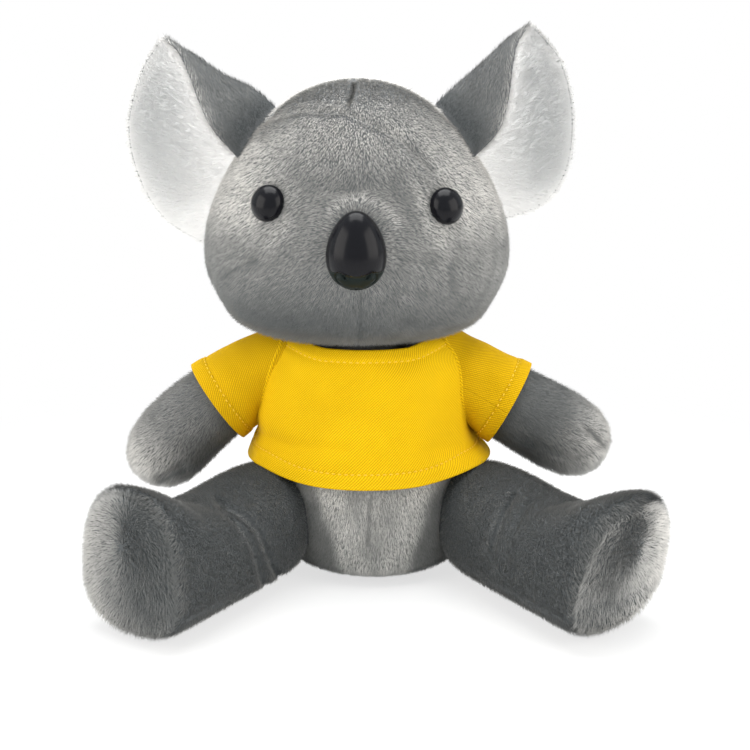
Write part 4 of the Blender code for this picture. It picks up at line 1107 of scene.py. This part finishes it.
around, share = np.meshgrid(np.linspace(0, 2 * math.pi, 361), np.linspace(0, 1, 96))
flank = np.abs(np.cos(around))
ahead = np.clip(-np.sin(around), 0, 1) * body_form["sizes"][1]
hem = hem_front + hem_rise * ease(body_form["sizes"][1] - ahead, 0.0, hem_rise_depth)
top = shirt_top + 2.2 * ease(flank, 0.45, 1.0)
height = hem + (top - hem) * share
from_hem, from_top = height - hem, top - height
plain = shirt_wall(around, height, 0.0)
sag = 0.55 * waves(plain, 26.0, 71, 1)[..., 0] * ease(from_hem, 3.0, 10.0)
sag = sag * ease(from_top, 0.0, 10.0)
fold = sum(deep * near_line(plain, spots, reach) for spots, reach, deep in shirt_folds)
sag = sag - fold * (plain[..., 1] < 0)
side_seam = bell(flank - 1, 0.06) * ease(from_hem, 2.0, 8.0)
sag = sag + 0.9 * side_seam * ease(height, 58.0, 50.0) * np.cos((height - 40.0) / 2.6)
band = 0.45 * ease(hem_fold - from_hem, -0.4, 0.4) + 0.35 * ease(neck_fold - from_top, -0.4, 0.4)
for gap in (from_hem - hem_fold, from_top - neck_fold):
    band = band - 0.4 * bell(gap, 0.6)
flare = np.where(np.cos(around) < 0, 1.0, 2.6) * ease(flank, 0.55, 0.95)
flare = flare * bell(from_hem, 3.6)
grid = shirt_wall(around, height, 0.9 + sag + band + flare)
shirt = new_mesh("shirt_body", grid.reshape(-1, 3), quads(*grid.shape[:2]), yellow_knit)
map_corners(shirt, "cloth", around * 34.0, height)
thicken(shirt, knit_thick)
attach(shirt, "torso")
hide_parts("shirt_front", "shirt_back")
outward = unit(np.cross(np.gradient(grid, axis=0), np.gradient(grid, axis=1)))
if np.sum(outward[..., 1] * grid[..., 1]) < 0:
    outward = -outward
spot = np.arange(grid.shape[1])
for name, level in (("hem_stitches", hem + hem_fold), ("neck_stitches", top - neck_fold)):
    share = (level[0] - hem[0]) / (top[0] - hem[0]) * (len(grid) - 1)
    row = np.clip(share.astype(int), 0, len(grid) - 2)
    part = (share - row)[:, None]
    path = grid[row, spot] * (1 - part) + grid[row + 1, spot] * part
    stitches(name, "torso", path + 0.45 * outward[row, spot], outward[row, spot])

for side, sign, length in (("left", -1, 18.5), ("right", 1, 20.5)):
    reach = arm_reach[side]
    at, across = arm_lines[side]
    widths = np.array([(0, 1.0)] + [row[:2] for row in arm_shares])

    def sleeve_wall(turn, along, out):
        """Points of a sleeve: the arm's radius plus an ease that grows evenly to the hem."""
        place, _, rise = at(along)
        radius = arm_radius * np.interp(along / reach, widths[:, 0], widths[:, 1])
        radius = radius + 0.1 + 0.4 * np.clip(along + 7.0, 0, None) / (length + 7.0) + out
        return place + radius[..., None] * (np.cos(turn)[..., None] * across
                                            + np.sin(turn)[..., None] * rise)

    turn = np.linspace(0, 2 * math.pi, 181)
    probe_turn, probe = np.meshgrid(turn, np.linspace(-14.0, length - 3.0, 120))
    walls = sleeve_wall(probe_turn, probe, 1.0)
    walls[..., 0] -= 2.6 * ease(walls[..., 2], 52.0, 76.0)
    inside = egg_reach(walls, **body_form) < 1.045
    last = len(probe) - 1 - np.argmax(inside[::-1], axis=0)
    root = np.where(inside.any(axis=0), probe[last, np.arange(len(turn))], -14.0)
    root = smoothed(np.concatenate([root[-7:-1], root, root[1:7]])[:, None], 13)[:, 0]
    share = np.linspace(0, 1, 56)[:, None]
    along = root - 1.5 + (length - root + 1.5) * share
    angle = np.broadcast_to(turn, along.shape)
    from_hem = length - along
    plain = sleeve_wall(angle, along, 0.0)
    sag = 0.5 * waves(plain, 17.0, 73 + sign, 1)[..., 0] * ease(from_hem, 3.0, 9.0)
    sag += 0.3 * np.sin(3 * angle + 0.22 * sign * along) * ease(from_hem, 4.0, 12.0)
    sag *= 1 - 0.7 * ease(np.sin(angle), 0.3, 0.9)
    band = 0.35 * (ease(sleeve_fold - from_hem, -0.4, 0.4) - bell(from_hem - sleeve_fold, 0.6))
    grid = sleeve_wall(angle, along, 0.5 + sag + band)
    sleeve = new_mesh(f"shirt_sleeve_{side}_cloth", grid.reshape(-1, 3),
                      quads(*grid.shape[:2]), shaded_sleeve_knit)
    map_corners(sleeve, "cloth", angle * 14.5, along)
    thicken(sleeve, knit_thick)
    sewn, loose = (tuple(placed(at(np.array([out]))[0][0])) for out in (-4.0, 9.0))
    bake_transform(sleeve)
    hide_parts(f"shirt_sleeve_{side}")
    rise = at(np.full(len(turn), length - sleeve_fold))[2]
    out = np.cos(turn)[:, None] * across + np.sin(turn)[:, None] * rise
    row = np.argmin(np.abs(from_hem - sleeve_fold), axis=0)
    stitches(f"sleeve_{side}_stitches", f"arm_{side}",
             grid[row, np.arange(len(turn))] + 0.45 * out, out)
    welt(f"raglan_seam_{side}", grid[8], sleeve_wall(angle[8], along[8], 5.0))
